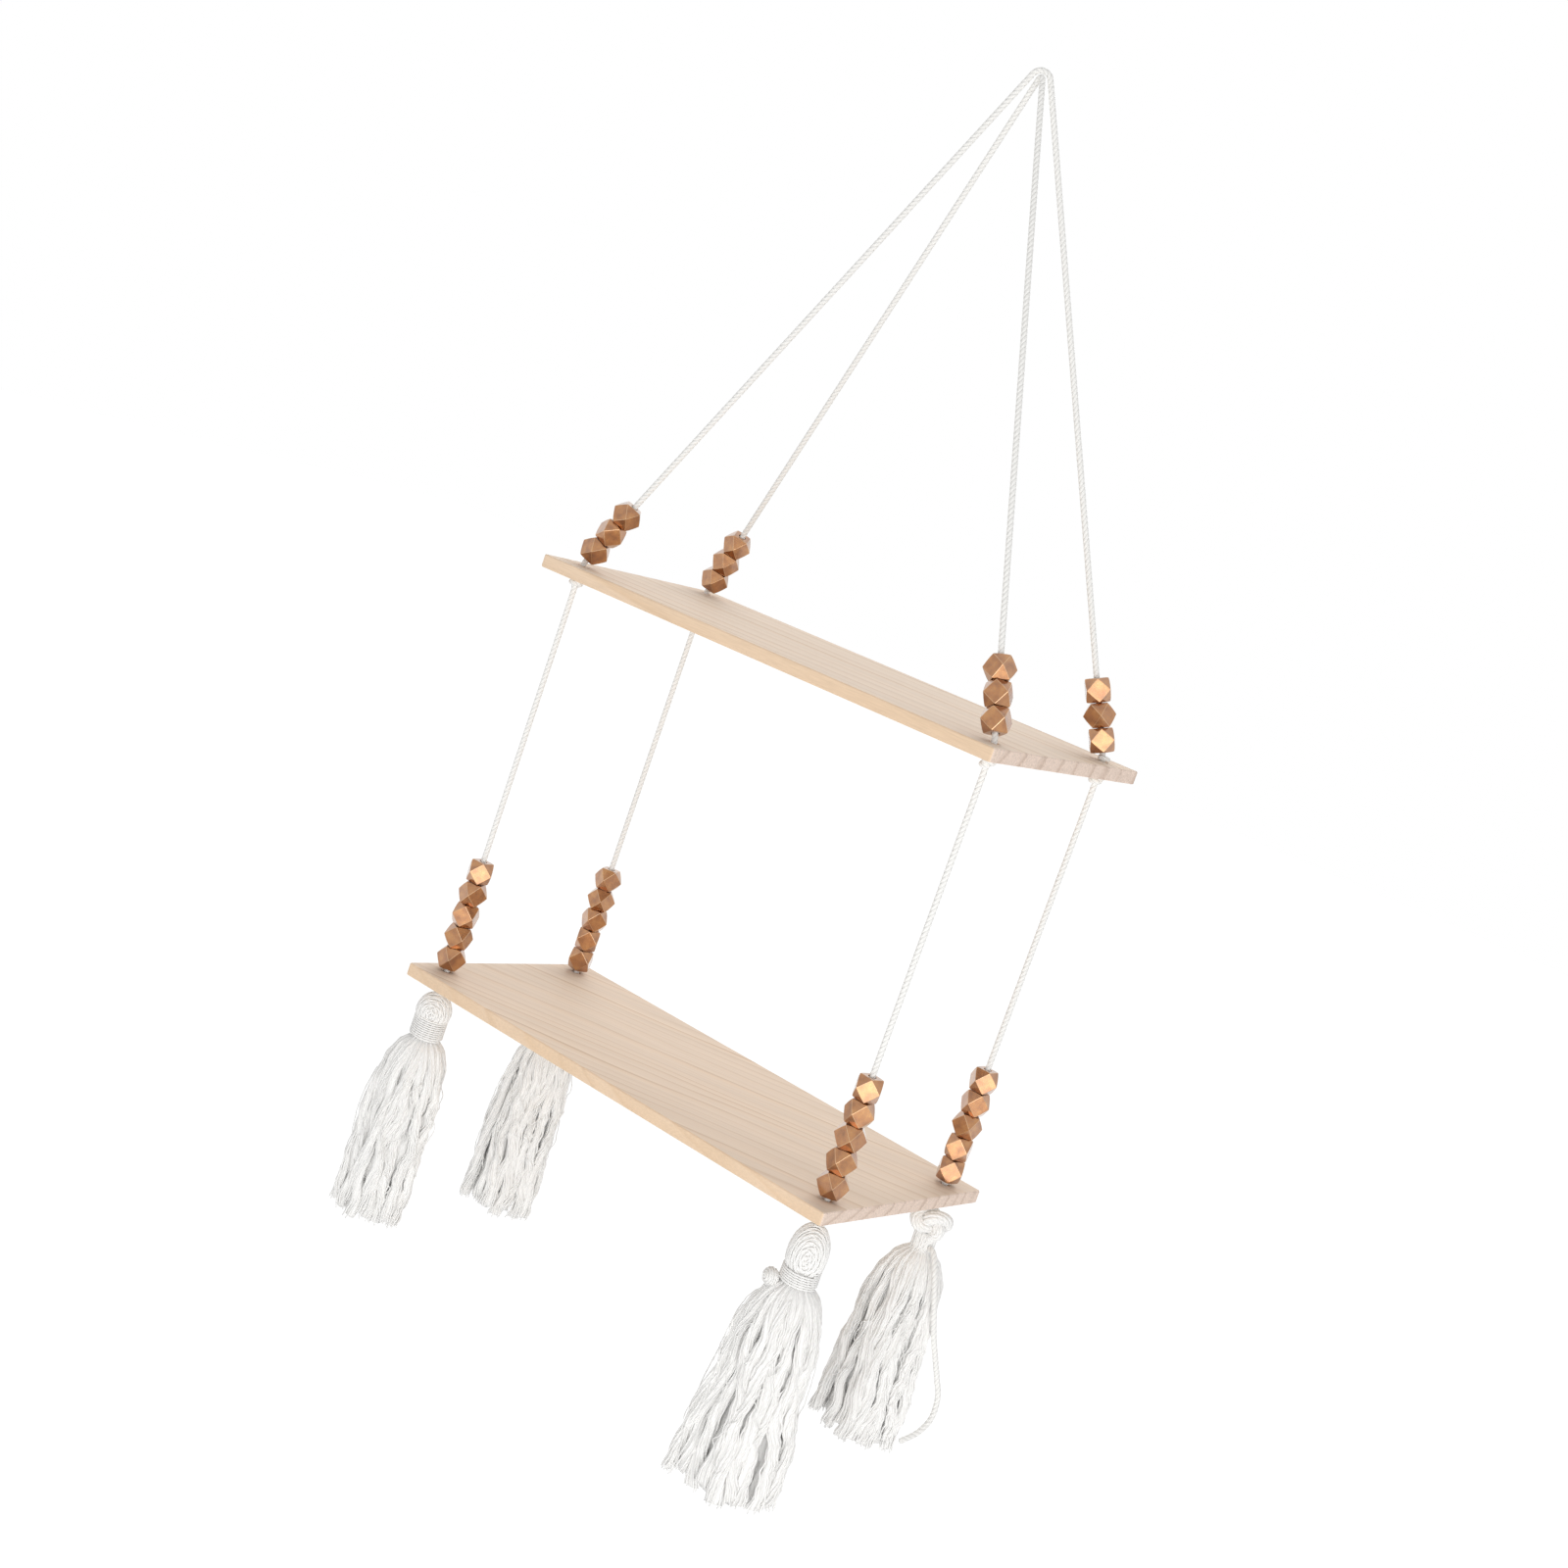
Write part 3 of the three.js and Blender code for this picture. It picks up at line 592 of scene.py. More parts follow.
def skirt_parts(size, seed, settings):
    """Skins of a skirt: the oval bodies of its locks and the strands that lie on them.

    Locks hang in an outer ring and an inner one. A lock's middle keeps to the outline and sways by
    sums of sines. Its oval section has the height of a share of the outline's radius and the
    width of its place in the ring. It is full under the neck and at the hem, and drawn together
    between, where gaps open. A strand keeps a place on its lock's oval, which turns slowly on the
    way down. Every lock's strands share their crimps, and end on the rounded lobes of the hem.
    """
    chance = np.random.default_rng(seed)
    depth, radius, skirt = tassel_outline(size)
    fine = evenly(np.stack([depth, radius, np.zeros_like(depth)], -1), step=0.0004)
    along = travelled(fine)
    outer, inner = settings.locks, settings.locks // 2
    locks = outer + inner
    per_ring = np.repeat([outer, inner], [outer, inner])[:, None]
    ring = np.repeat([1.0, INNER_RING], [outer, inner])[:, None]
    number = np.concatenate([np.arange(outer), np.arange(inner)])[:, None]
    base = (number + chance.normal(0, 0.16, (locks, 1))) / per_ring
    sway = chance_waves(chance, locks, (0.0017, 0.06, 0.09), (0.0008, 0.026, 0.04))
    heave = chance_waves(chance, locks, (0.0008, 0.045, 0.07), (0.0004, 0.02, 0.03))
    narrowing = chance_waves(chance, locks, (0.10, 0.05, 0.09), (0.07, 0.025, 0.04))
    crimps = chance_waves(chance, locks, (0.00025, 0.009, 0.013))
    winding = chance.choice([-1, 1], locks)[:, None] / STRAND_WINDING
    drift = chance.normal(0, 0.05, (locks, 1))
    trimmed = HEM_LOBES * (1 - np.abs(np.cos(4.5 * 2 * np.pi * base + seed)) ** 0.7)

    def section(lock, s):
        """Depth, outline's radius, freedom and half axes of the oval of each lock at the lengths."""
        d = np.interp(s, along, fine[:, 0])
        r = np.interp(s, along, fine[:, 1])
        hang = (d - skirt) / (size["length"] - skirt)
        open_here = smooth(hang / 0.2) * smooth((1.02 - hang) / 0.2)
        place = np.pi * r * ring[lock] / per_ring[lock]
        wide = place * (1.16 - open_here * (0.33 + swing(narrowing, s, lock)))
        thick = np.minimum(0.27 * r, LOCK_THICKNESS)
        return d, r, smooth((d - skirt) / 0.045), wide, thick

    def placed(lock, s, sideways, outward, loose):
        """Points that far to the side of and out from each lock's middle, and their azimuths."""
        d, r, free, wide, thick = section(lock, s)
        azimuth = 2 * np.pi * base[lock]
        away = r * ring[lock] * folds(size, azimuth, d, skirt) - thick * (1 - outward)
        away = away + free * (swing(heave, s, lock) - 0.0009 + loose) - settings.yarn / 2
        away = np.maximum(away, 0.0004)
        aside = wide * sideways + free * (swing(sway, s, lock) + 1.4 * loose)
        angle = azimuth + aside / np.maximum(away, 0.005) + drift[lock] * free
        return np.stack([away * np.cos(angle), away * np.sin(angle), -d], -1), angle

    # Bodies of the locks
    lock = np.arange(locks)
    s = (along[-1] - trimmed - 0.0016) * np.linspace(0, 1, 44)
    nothing = np.zeros_like(s)
    middles, angle = placed(lock, s, nothing, nothing, nothing)
    wide, thick = section(lock, s)[-2:]
    closing_length, set_in, least = 0.016, settings.yarn * 0.4, 0.0006
    closing = 1 - 0.5 * smooth((s - s[:, -1:] + closing_length) / closing_length)
    half_width = np.maximum(wide - set_in, least)[..., None]
    half_height = (np.maximum(thick - set_in, least) * closing)[..., None]
    turn = circle(12)
    oval = half_width * half_height / np.hypot(half_height * np.cos(turn), half_width * np.sin(turn))
    tangential = np.stack([-np.sin(angle), np.cos(angle), nothing], -1)
    grooves = settings.strands / 2
    bodies = skin(middles, tangential, oval, s * winding * grooves, turns=grooves)
    # Strands
    counts = np.repeat([settings.strands, settings.strands // 3], [outer, inner])
    lock = np.repeat(np.arange(locks), counts)
    nth = np.concatenate([np.arange(n) for n in counts])[:, None]
    total = len(lock)
    first = chance.random(locks)[lock][:, None]
    turn = 2 * np.pi * (nth / counts[lock][:, None] + first + chance.normal(0, 0.02, (total, 1)))
    out = 1 - 0.12 * chance.random((total, 1))
    s = (along[-1] - trimmed[lock] - 0.0025 * chance.random((total, 1)) ** 2) * np.linspace(0, 1, 50)
    turned = turn + 2 * np.pi * s * winding[lock]
    loose = swing(crimps, s, lock) + swing(chance_waves(chance, total, (0.00012, 0.008, 0.014)), s)
    frayed_length = 0.03
    fray = smooth((s - s[:, -1:] + frayed_length) / frayed_length) * chance.normal(0, 0.08, (total, 1))
    centres, _ = placed(lock, s, out * np.cos(turned) + fray, out * np.sin(turned), loose)
    return [bodies, tubes(centres, settings.yarn, settings, seed)]


def stray_strands(size, seed):
    """A few thin loose strands that wander across the locks on the skirt's outside."""
    chance = np.random.default_rng(seed + 50)
    count = 12
    depth, radius, skirt = tassel_outline(size)
    start = chance.uniform(skirt + 0.01, 0.5 * size["length"], (count, 1))
    length = chance.uniform(0.4, 0.9, (count, 1)) * (size["length"] * 0.97 - start)
    d = start + length * np.linspace(0, 1, 60)
    azimuth = 2 * np.pi * (np.arange(count)[:, None] + chance.random((count, 1))) / count
    ends = np.sin(np.pi * np.linspace(0.06, 1, 60)) ** 0.5
    out = np.interp(d, depth, radius) * folds(size, azimuth, d, skirt) - 0.0012 + 0.0012 * ends
    wander = chance_waves(
        chance, count, (0.0045, 0.03, 0.07), (0.0012, 0.01, 0.02), (0.0004, 0.005, 0.008))
    angle = azimuth + swing(wander, d) / np.maximum(out, 0.008)
    return np.stack([out * np.cos(angle), out * np.sin(angle), -d], -1)


def tubes(centres, thickness, settings, seed):
    """Round strands of slightly uneven thickness that end in a blunt point."""
    chance = np.random.default_rng(seed)
    count = len(centres)
    s = travelled(centres)
    uneven = 1 + swing(chance_waves(chance, count, (0.08, 0.007, 0.013)), s)
    tip_length, tip = 0.003, 0.55
    blunt = tip + (1 - tip) * smooth((s[:, -1:] - s) / tip_length)
    radii = np.repeat((thickness / 2 * uneven * blunt)[..., None], STRAND_SIDES, -1)
    phase = s / settings.ply_lay + chance.random((count, 1))
    across = centres * np.array([1, 1, 0]) + 1e-4 * UP
    return skin(centres, across, radii, phase)


def oval_axes(semi, pole):
    """Axes of an oval ball as rows: along its pole, across it and upright, each of its half width."""
    pole = np.array([math.cos(pole), math.sin(pole), 0])
    across = np.array([-pole[1], pole[0], 0])
    return np.stack([pole * semi[0], across * semi[1], UP * semi[2]])


def wound_ball(middle, axes, turns, settings, seed):
    """A yarn wound over an oval ball in one spiral from its front pole to its back one.

    At a share of the way the polar angle is that share of half a turn, nudged by a slow sine, and
    the azimuth is that share of all the turns. A closed oval of the same shape fills it.
    """
    share = np.linspace(0.02, 0.98, int(turns * 32))
    azimuth = 2 * np.pi * turns * share
    polar = np.pi * share + 0.035 * np.sin(2.63 * azimuth + seed)
    swell = 1 + 0.015 * np.sin(5.3 * azimuth)
    about = np.sin(polar)
    local = np.stack([np.cos(polar), about * np.cos(azimuth), about * np.sin(azimuth)], -1)
    centres = (local * swell[:, None]) @ axes
    radii = np.full((len(share), STRAND_SIDES), settings.yarn / 2)
    yarn_skin = tube_skin(centres + middle, centres, radii, travelled(centres) / settings.ply_lay)
    filled = 0.96
    spine = np.linspace(-0.985, 0.985, 17)
    rows = axes[0] * spine[:, None] * filled + middle
    side, top = np.cos(circle(24)) * np.linalg.norm(axes[1]), np.sin(circle(24)) * axes[2, 2]
    radii = np.sqrt(1 - spine ** 2)[:, None] * filled * np.hypot(side, top)
    return [yarn_skin, tube_skin(rows, axes[1], radii, angle=np.arctan2(top, side))]


def crossed_knot(middle, width, height, depth, pole, settings):
    """A three-crossing knot of a bundle of yarns, facing its pole.

    At an angle t the bundle's middle lies 2 + cos 3t out along the direction 2t, and sin 3t
    towards the pole. Its yarns lie on a circle about that line and wind slowly round it.
    """
    t = np.linspace(0, 2 * np.pi, 400)
    bundle, yarns, winding, rows = 0.0043, 9, 0.09, 150
    out = 2 + np.cos(3 * t)
    local = np.stack([np.sin(3 * t), out * np.cos(2 * t + 0.5), out * np.sin(2 * t + 0.5)], -1)
    reach = np.array([depth / 2 - bundle, (width / 2 - bundle) / 3, (height / 2 - bundle) / 3])
    axes = oval_axes(reach, pole)
    line = local @ axes + middle
    line = evenly(line, travelled(line)[-1] / (rows - 1))
    tangent = unit(np.gradient(line, axis=0))
    first = unit(axes[0] - (tangent @ axes[0])[:, None] * tangent)
    second = np.cross(tangent, first)
    angle = 2 * np.pi * (np.arange(yarns)[:, None] / yarns + travelled(line)[None] / winding)
    away = (bundle - settings.yarn) * (1 + 0.05 * np.sin(3.1 * angle))
    around = np.cos(angle)[..., None] * first + np.sin(angle)[..., None] * second
    centres = line + away[..., None] * around
    radii = np.full((yarns, len(line), 6), settings.yarn)
    phase = travelled(centres) / settings.ply_lay
    core = np.full((len(line), 10), bundle - 1.3 * settings.yarn)
    return [skin(centres, around, radii, phase), tube_skin(line, first, core)]


def skirt_core(size, settings):
    """A grooved surface well inside the skirt, so that no gap between the locks shows through it."""
    depth, radius, skirt = tassel_outline(size)
    sides = rows = 40
    d = np.linspace(skirt, size["length"] - 0.03, rows)
    r = np.interp(d, depth, radius) * (1 - 0.3 * smooth((d - skirt) / 0.03)) - 0.001
    # The spine runs down, so the angle about it runs the other way round
    reach = (r[:, None] * folds(size, circle(sides), d[:, None], skirt))[:, -np.arange(sides) % sides]
    return tube_skin(-d[:, None] * UP, np.array([1.0, 0, 0]), reach, turns=4 * settings.strands)


def add_tassel(tag, number, yarn):
    """One tassel: a wound or knotted head over a skirt of strands that hang in locks."""
    settings = bpy.context.scene.shelf_tassels
    size = TASSELS[tag]
    head, head_height = size["head"], size["head_height"]
    parts = skirt_parts(size, number + 3, settings)
    parts.append(skirt_core(size, settings))
    parts.append(tubes(stray_strands(size, number), settings.yarn * 0.5, settings, number + 9))
    if size["turns"]:
        into_neck, gap, flatter, closeness = 0.011, 0.0004, 0.0015, 0.93
        half = (head_height + into_neck) / 2
        axes = oval_axes((head / 2 - flatter, head / 2 - settings.yarn / 2, half), HEAD_FACING)
        turns = np.pi * head / 2 / (settings.yarn * closeness)
        parts += wound_ball(-(half + settings.yarn / 2 + gap) * UP, axes, turns, settings, number)
    else:
        middle = -(head_height / 2 + 0.001) * UP
        parts += crossed_knot(middle, head, head_height + 0.002, 0.018, HEAD_FACING, settings)
    if tag == "rf":
        # The small knot at the side of its neck
        aside = np.array([-0.0125, -0.0096, -tassel_outline(size)[2] - 0.0015])
        parts += wound_ball(aside, oval_axes((0.0042, 0.0062, 0.0052), 1.0), 9, settings, 2)
    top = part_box("tassel_" + tag)[1].z
    piece = joined("yarn_tassel_" + tag, parts, corner_point(tag, top))
    dress(piece, yarn, "tassel_yarn", "tassel_" + tag, "tassel_" + tag)


def helix(radius, pitch, turns, run, step):
    """A winding down the neck whose two ends run on straight along their tangents."""
    share = np.linspace(0, 1, int(turns * 60) + 1)
    angle = 2 * np.pi * turns * share
    wound = np.stack([radius * np.cos(angle), radius * np.sin(angle), -pitch * turns * share], -1)
    first, last = (
        unit(2 * np.pi * radius * np.array([-np.sin(a), np.cos(a), 0]) - pitch * UP)
        for a in (0, angle[-1]))
    return evenly(np.concatenate([[wound[0] - run * first], wound, [wound[-1] + run * last]]), step)


def add_bindings(yarn):
    """The yarn wound round the necks of three tassels, laid on double so that two fill a pitch."""
    settings = bpy.context.scene.shelf_tassels
    filling = 0.87                  # share of the pitch that the two yarns fill
    width = filling * BINDING_PITCH / 2
    for tag in ("lf", "lb", "rf"):
        size = TASSELS[tag]
        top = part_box("tassel_" + tag)[1].z - size["head_height"] - CLEARANCE - width / 2
        windings = []
        for down in (0, BINDING_PITCH / 2):
            turns = size["turns"] + 0.5 - down / BINDING_PITCH
            route = helix((size["neck"] - width) / 2, BINDING_PITCH, turns, BINDING_YARN, 0.0007)
            route = route + corner_point(tag, top - down)
            phase = travelled(route) / settings.ply_lay
            windings.append(laid_skin(route, UP, phase, width, 10, YARN_PLIES, settings.relief))
        piece = joined("neck_winding_" + tag, windings)
        dress(piece, yarn, "tassel_yarn", "tassel_" + tag, "tassel_binding_" + tag)


# Materials

def fill(tree, node, inputs):
    """Fills a node's inputs by name or number with values, outputs or nodes' first outputs."""
    for key, value in inputs.items():
        source = value.outputs[0] if isinstance(value, bpy.types.Node) else value
        if isinstance(source, bpy.types.NodeSocket):
            tree.links.new(source, node.inputs[key])
        else:
            node.inputs[key].default_value = source


def add(tree, kind, inputs=None, stops=(), **settings):
    """Adds a node with its settings, its inputs and its ramp's stops: places and linear colours."""
    node = tree.nodes.new("ShaderNode" + kind)
    for key, value in settings.items():
        setattr(node, key, value)
    fill(tree, node, inputs or {})
    for number, (place, colour) in enumerate(stops):
        elements = node.color_ramp.elements
        element = elements[number] if number < len(elements) else elements.new(1.0)
        element.position, element.color = place, (*colour, 1)
    return node


def new_material(name):
    """An empty node material with its shader wired to the output."""
    material = bpy.data.materials.new(name)
    material.use_nodes = True
    tree = material.node_tree
    tree.nodes.clear()
    shader = add(tree, "BsdfPrincipled")
    add(tree, "OutputMaterial", {"Surface": shader})
    return material, tree, shader


NOISE_SPAN = {"From Min": 0.3, "From Max": 0.7}    # where nearly all of a noise's values lie

# Scots pine, planed on its faces and sawn across its ends. Planing leaves it smooth, pale and
# matt with thin darker growth lines along the board, and the saw leaves the ends rough, greyer
# and finely speckled. Both boards were cut across wide growth rings, whose lines lie about 10 mm
# apart on the lower board and 19 mm on the upper one. The lower one was cut askew to the trunk.
FIBRE = (0.07, 0.0007)        # length and width; a real fibre is 0.03 mm wide, too fine to show
STREAK = (0.33, 0.017)        # length and width of slow changes of colour
WANDER = (0.26, 0.05)         # length and width of the growth lines' wander
WANDER_DEPTH = 0.024
YEARS = 0.026                 # width of a run of good or poor years, whose rings lie wider or closer
YEARS_DEPTH = 0.014
LINE_SPREAD = {"upper_shelf": 1.8, "lower_shelf": 1.0}    # over the growth lines' set spacing
GRAIN_TURN = {"upper_shelf": math.radians(3), "lower_shelf": math.radians(21)}
SAW_SPECK = 0.0011            # a real pore is 0.05 mm wide, too fine to show
RAGGED_LINES = 0.003          # how far the saw's specks drag the lines aside
FACES_ALONG = 0.7             # a face looks along an axis if its normal's share of it is above this


def pine_material(board):
    """The distance of a point from the tree's pith, over the lines' spacing, gives its growth."""
    settings = bpy.context.scene.shelf_boards
    low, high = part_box(board)
    material, tree, shader = new_material("planed scots pine of the " + board.replace("_", " "))
    spot = add(tree, "TexCoord")
    place, normal = spot.outputs["Object"], spot.outputs["Normal"]
    with_grain = add(tree, "Mapping", {
        "Vector": place, "Rotation": (0, 0, -GRAIN_TURN[board]),
        "Location": (0, settings.pith_front - (low.y + high.y) / 2, -settings.pith_above - high.z),
    })
    across = add(tree, "VectorMath", {0: with_grain, 1: (0, 1, 1)}, operation="MULTIPLY")
    from_pith = add(tree, "VectorMath", {0: across}, operation="LENGTH").outputs["Value"]
    noises = []
    for long, wide, detail in ((*WANDER, 3.0), (*FIBRE, 2.0), (*STREAK, 2.0)):
        stretched = add(tree, "Mapping", {
            "Vector": with_grain, "Scale": (1 / long, 1 / wide, 1 / wide)})
        noises.append(add(tree, "TexNoise", {"Vector": stretched, "Scale": 1.0, "Detail": detail}))
    wander, fibre, streak = noises
    wandered = add(tree, "Math", {0: wander, 1: WANDER_DEPTH, 2: from_pith}, operation="MULTIPLY_ADD")
    # Where a face looks: along the board at its ends, and across it at its edges
    facing = add(tree, "SeparateXYZ", {"Vector": normal})
    looks = []
    for axis in "XY":
        share = add(tree, "Math", {0: facing.outputs[axis]}, operation="ABSOLUTE")
        looks.append(add(tree, "Math", {0: share, 1: FACES_ALONG}, operation="GREATER_THAN"))
    is_end, is_edge = looks
    # The saw leaves specks on the ends and ragged lines
    specks = add(tree, "TexNoise", {"Vector": place, "Scale": 1 / SAW_SPECK, "Detail": 3.0})
    sawn_specks = add(tree, "Math", {0: specks, 1: is_end}, operation="MULTIPLY")
    ragged = add(tree, "Math", {
        0: sawn_specks, 1: RAGGED_LINES, 2: wandered}, operation="MULTIPLY_ADD")
    spacing = settings.ring_spacing * LINE_SPREAD[board]
    years = add(tree, "TexNoise", {
        "W": from_pith, "Scale": 1 / YEARS, "Detail": 1.0}, noise_dimensions="1D")
    uneven = add(tree, "Math", {0: years, 1: YEARS_DEPTH, 2: ragged}, operation="MULTIPLY_ADD")
    lines = add(tree, "Math", {0: uneven, 1: spacing}, operation="DIVIDE")
    ring = add(tree, "Math", {0: lines}, operation="FRACT")
    year = add(tree, "Math", {0: lines}, operation="FLOOR")
    summer = add(tree, "TexWhiteNoise", {"W": year}, noise_dimensions="1D")
    # Planed faces, whose lines fade in and out and are faint along the edges. In a mix of colours
    # inputs 6 and 7 are the two colours, and output 2 is what they make.
    growth = add(tree, "ValToRGB", {"Fac": ring}, [
        (0.0, settings.early), (0.66, settings.middle), (0.86, settings.late), (0.97, settings.early)])
    strong = add(tree, "MapRange", {
        "Value": streak, "From Min": 0.35, "From Max": 0.65, "To Min": 0.3})
    fainter = add(tree, "MapRange", {"Value": is_edge, "To Min": 1.0, "To Max": 0.3})
    yearly = add(tree, "MapRange", {"Value": summer, "To Min": 0.4, "To Max": 1.15})
    faded = add(tree, "Math", {0: strong, 1: fainter}, operation="MULTIPLY")
    strength = add(tree, "Math", {0: faded, 1: yearly}, operation="MULTIPLY")
    plain = add(tree, "Mix", {
        0: is_edge, 6: (*settings.early, 1), 7: (*settings.edge, 1)}, data_type="RGBA")
    lined = add(tree, "Mix", {0: strength, 6: plain.outputs[2], 7: growth}, data_type="RGBA")
    fibres = add(tree, "MapRange", {"Value": fibre, **NOISE_SPAN, "To Min": 0.93, "To Max": 1.04})
    streaks = add(tree, "MapRange", {"Value": streak, **NOISE_SPAN, "To Min": 0.95, "To Max": 1.03})
    shade = add(tree, "Math", {0: fibres, 1: streaks}, operation="MULTIPLY")
    planed = add(tree, "VectorMath", {0: lined.outputs[2], "Scale": shade}, operation="SCALE")
    # Sawn ends
    end_lines = add(tree, "ValToRGB", {"Fac": ring}, [
        (0.0, settings.end_early), (0.66, settings.end_early), (0.88, settings.end_late),
        (1.0, settings.end_early)])
    rough_shade = add(tree, "MapRange", {"Value": specks, **NOISE_SPAN, "To Min": 0.84, "To Max": 1.1})
    end_grain = add(tree, "Mix", {
        0: yearly, 6: (*settings.end_early, 1), 7: end_lines}, data_type="RGBA")
    sawn = add(tree, "VectorMath", {0: end_grain.outputs[2], "Scale": rough_shade}, operation="SCALE")
    colour = add(tree, "Mix", {0: is_end, 6: planed, 7: sawn}, data_type="RGBA")
    rough = add(tree, "MapRange", {"Value": is_end, "To Min": 0.58, "To Max": 0.85})
    planed_height = add(tree, "Math", {0: ring, 1: 0.35, 2: fibre}, operation="MULTIPLY_ADD")
    height = add(tree, "Math", {0: sawn_specks, 1: 2.0, 2: planed_height}, operation="MULTIPLY_ADD")
    bump = add(tree, "Bump", {"Height": height, "Strength": 0.35, "Distance": 0.0003})
    fill(tree, shader, {
        "Base Color": colour.outputs[2], "Roughness": rough, "Normal": bump,
        "Specular IOR Level": 0.3})
    return material


def spun_cotton(name, plies, settings, groove_shade, fuzz_size, bump_depth):
    """Cotton wound from plies, from the UV map, whose U less V is the place across the plies.

    The size of the cosine of that place, with half a turn to a ply, is 0 in a groove and 1 on a
    crest. It darkens the colour in the grooves as painted shade and, with fine fuzz, gives the relief.
    """
    material, tree, shader = new_material(name)
    uv = add(tree, "UVMap", uv_map="lay")
    parts = add(tree, "SeparateXYZ", {"Vector": uv})
    turned = add(tree, "Math", {0: parts.outputs["X"], 1: parts.outputs["Y"]}, operation="SUBTRACT")
    wound = add(tree, "Math", {0: turned, 1: math.pi * plies}, operation="MULTIPLY")
    wave = add(tree, "Math", {0: wound}, operation="COSINE")
    crest = add(tree, "Math", {0: wave}, operation="ABSOLUTE")
    # Painted shade: the colour darkens in the grooves between the plies
    groove = add(tree, "MapRange", {"Value": crest, "From Max": 0.55, "To Min": groove_shade})
    place = add(tree, "TexCoord").outputs["Object"]
    fuzz = add(tree, "TexNoise", {"Vector": place, "Scale": 1 / fuzz_size, "Detail": 2.0})
    speck = add(tree, "MapRange", {"Value": fuzz, **NOISE_SPAN, "To Min": 0.95, "To Max": 1.01})
    shade = add(tree, "Math", {0: groove, 1: speck}, operation="MULTIPLY")
    colour = add(tree, "VectorMath", {0: tuple(settings.colour), "Scale": shade}, operation="SCALE")
    height = add(tree, "Math", {0: fuzz, 1: 0.5, 2: crest}, operation="MULTIPLY_ADD")
    bump = add(tree, "Bump", {"Height": height, "Strength": 0.4, "Distance": bump_depth})
    fill(tree, shader, {
        "Base Color": colour, "Normal": bump, "Roughness": 0.92, "Sheen Weight": 0.25,
        "Specular IOR Level": 0.2})
    return material


def cord_material():
    """White cotton cord of three wound strands."""
    # Twisted cotton cord: matt and slightly fuzzy white, with painted shade as a grey slanting line
    #     # where two strands meet. Its fuzz is drawn as specks of 0.45 mm, because a real fibre is
    #     0.02 mm wide.
    settings = bpy.context.scene.shelf_cords
    return spun_cotton(
        "twisted white cotton cord", CORD_STRANDS, settings,
        groove_shade=0.8, fuzz_size=0.00045, bump_depth=0.0004)


def yarn_material():
    """Soft white cotton yarn of two plies."""
    # Spun cotton yarn: matt, soft and nearly white, so that only its grooves, which carry painted
    #     # shade, and the gaps between the locks, which fall in real shade, look grey. Its fuzz is
    #     drawn as
    #     # specks of 0.55 mm, coarser than a real fibre.
    settings = bpy.context.scene.shelf_tassels
    return spun_cotton(
        "spun white cotton yarn", YARN_PLIES, settings,
        groove_shade=0.88, fuzz_size=0.00055, bump_depth=0.0003)


# Sanded beech under copper spray paint. The paint's metal flakes shine softly, brightest where a
# flat face looks at the lamp, and the sanded wood's grain shows through it as faint lines.
PAINT_CLOUD = 0.006           # size of patches where the paint lies thicker
PAINT_FLAKE = 0.00026         # a real flake is 0.02 mm wide, too fine to show
SANDED_GRAIN = (0.011, 0.0011)    # length and width of its lines; the real ones are finer
EDGE_HIGHLIGHT_AND_WEAR = 0.75               # share of the paint's colour that turns pale along an edge, as painted highlight and worn paint


def copper_material():
    """Clouds of thicker and thinner paint, pale edges that are painted highlight and worn paint,
    flakes that vary the gloss, and a grain.
    """
    settings = bpy.context.scene.shelf_beads
    material, tree, shader = new_material("copper spray paint on sanded beech")
    place = add(tree, "TexCoord").outputs["Object"]
    cloud = add(tree, "TexNoise", {"Vector": place, "Scale": 1 / PAINT_CLOUD, "Detail": 3.0})
    colour = add(tree, "ValToRGB", {"Fac": cloud}, [
        (0.3, settings.thin_paint), (0.5, settings.paint), (0.72, settings.thick_paint)])
    # Painted highlight along the edges: a pale colour mixed in along each edge round, also standing
    # for paint worn pale
    edges = add(tree, "Attribute", attribute_name="edge_highlight_and_wear")
    edge_highlight_and_wear_share = add(tree, "MapRange", {
        "Value": edges.outputs["Fac"], "From Min": 0.2, "To Max": EDGE_HIGHLIGHT_AND_WEAR})
    worn = add(tree, "Mix", {0: edge_highlight_and_wear_share, 6: colour, 7: (*settings.edge_paint_and_highlight, 1)}, data_type="RGBA")
    flake = add(tree, "TexNoise", {"Vector": place, "Scale": 1 / PAINT_FLAKE, "Detail": 1.0})
    rough = add(tree, "MapRange", {
        "Value": flake, "From Min": 0.35, "From Max": 0.65, "To Min": 0.15, "To Max": 0.25})
    long, wide = SANDED_GRAIN
    stretched = add(tree, "Mapping", {
        "Vector": place, "Rotation": (0.5, 0.3, 0), "Scale": (1 / wide, 1 / wide, 1 / long)})
    grain = add(tree, "TexNoise", {"Vector": stretched, "Scale": 1.0, "Detail": 2.0})
    height = add(tree, "Math", {0: flake, 1: 0.35, 2: grain}, operation="MULTIPLY_ADD")
    bump = add(tree, "Bump", {"Height": height, "Strength": 0.14, "Distance": 0.0002})
    # The coat is the paint's clear binder over flat flakes
    fill(tree, shader, {
        "Base Color": worn.outputs[2], "Roughness": rough, "Normal": bump, "Metallic": 0.9,
        "Coat Weight": 1.0, "Coat IOR": 1.7, "Coat Roughness": 0.12})
    return material


# Stage

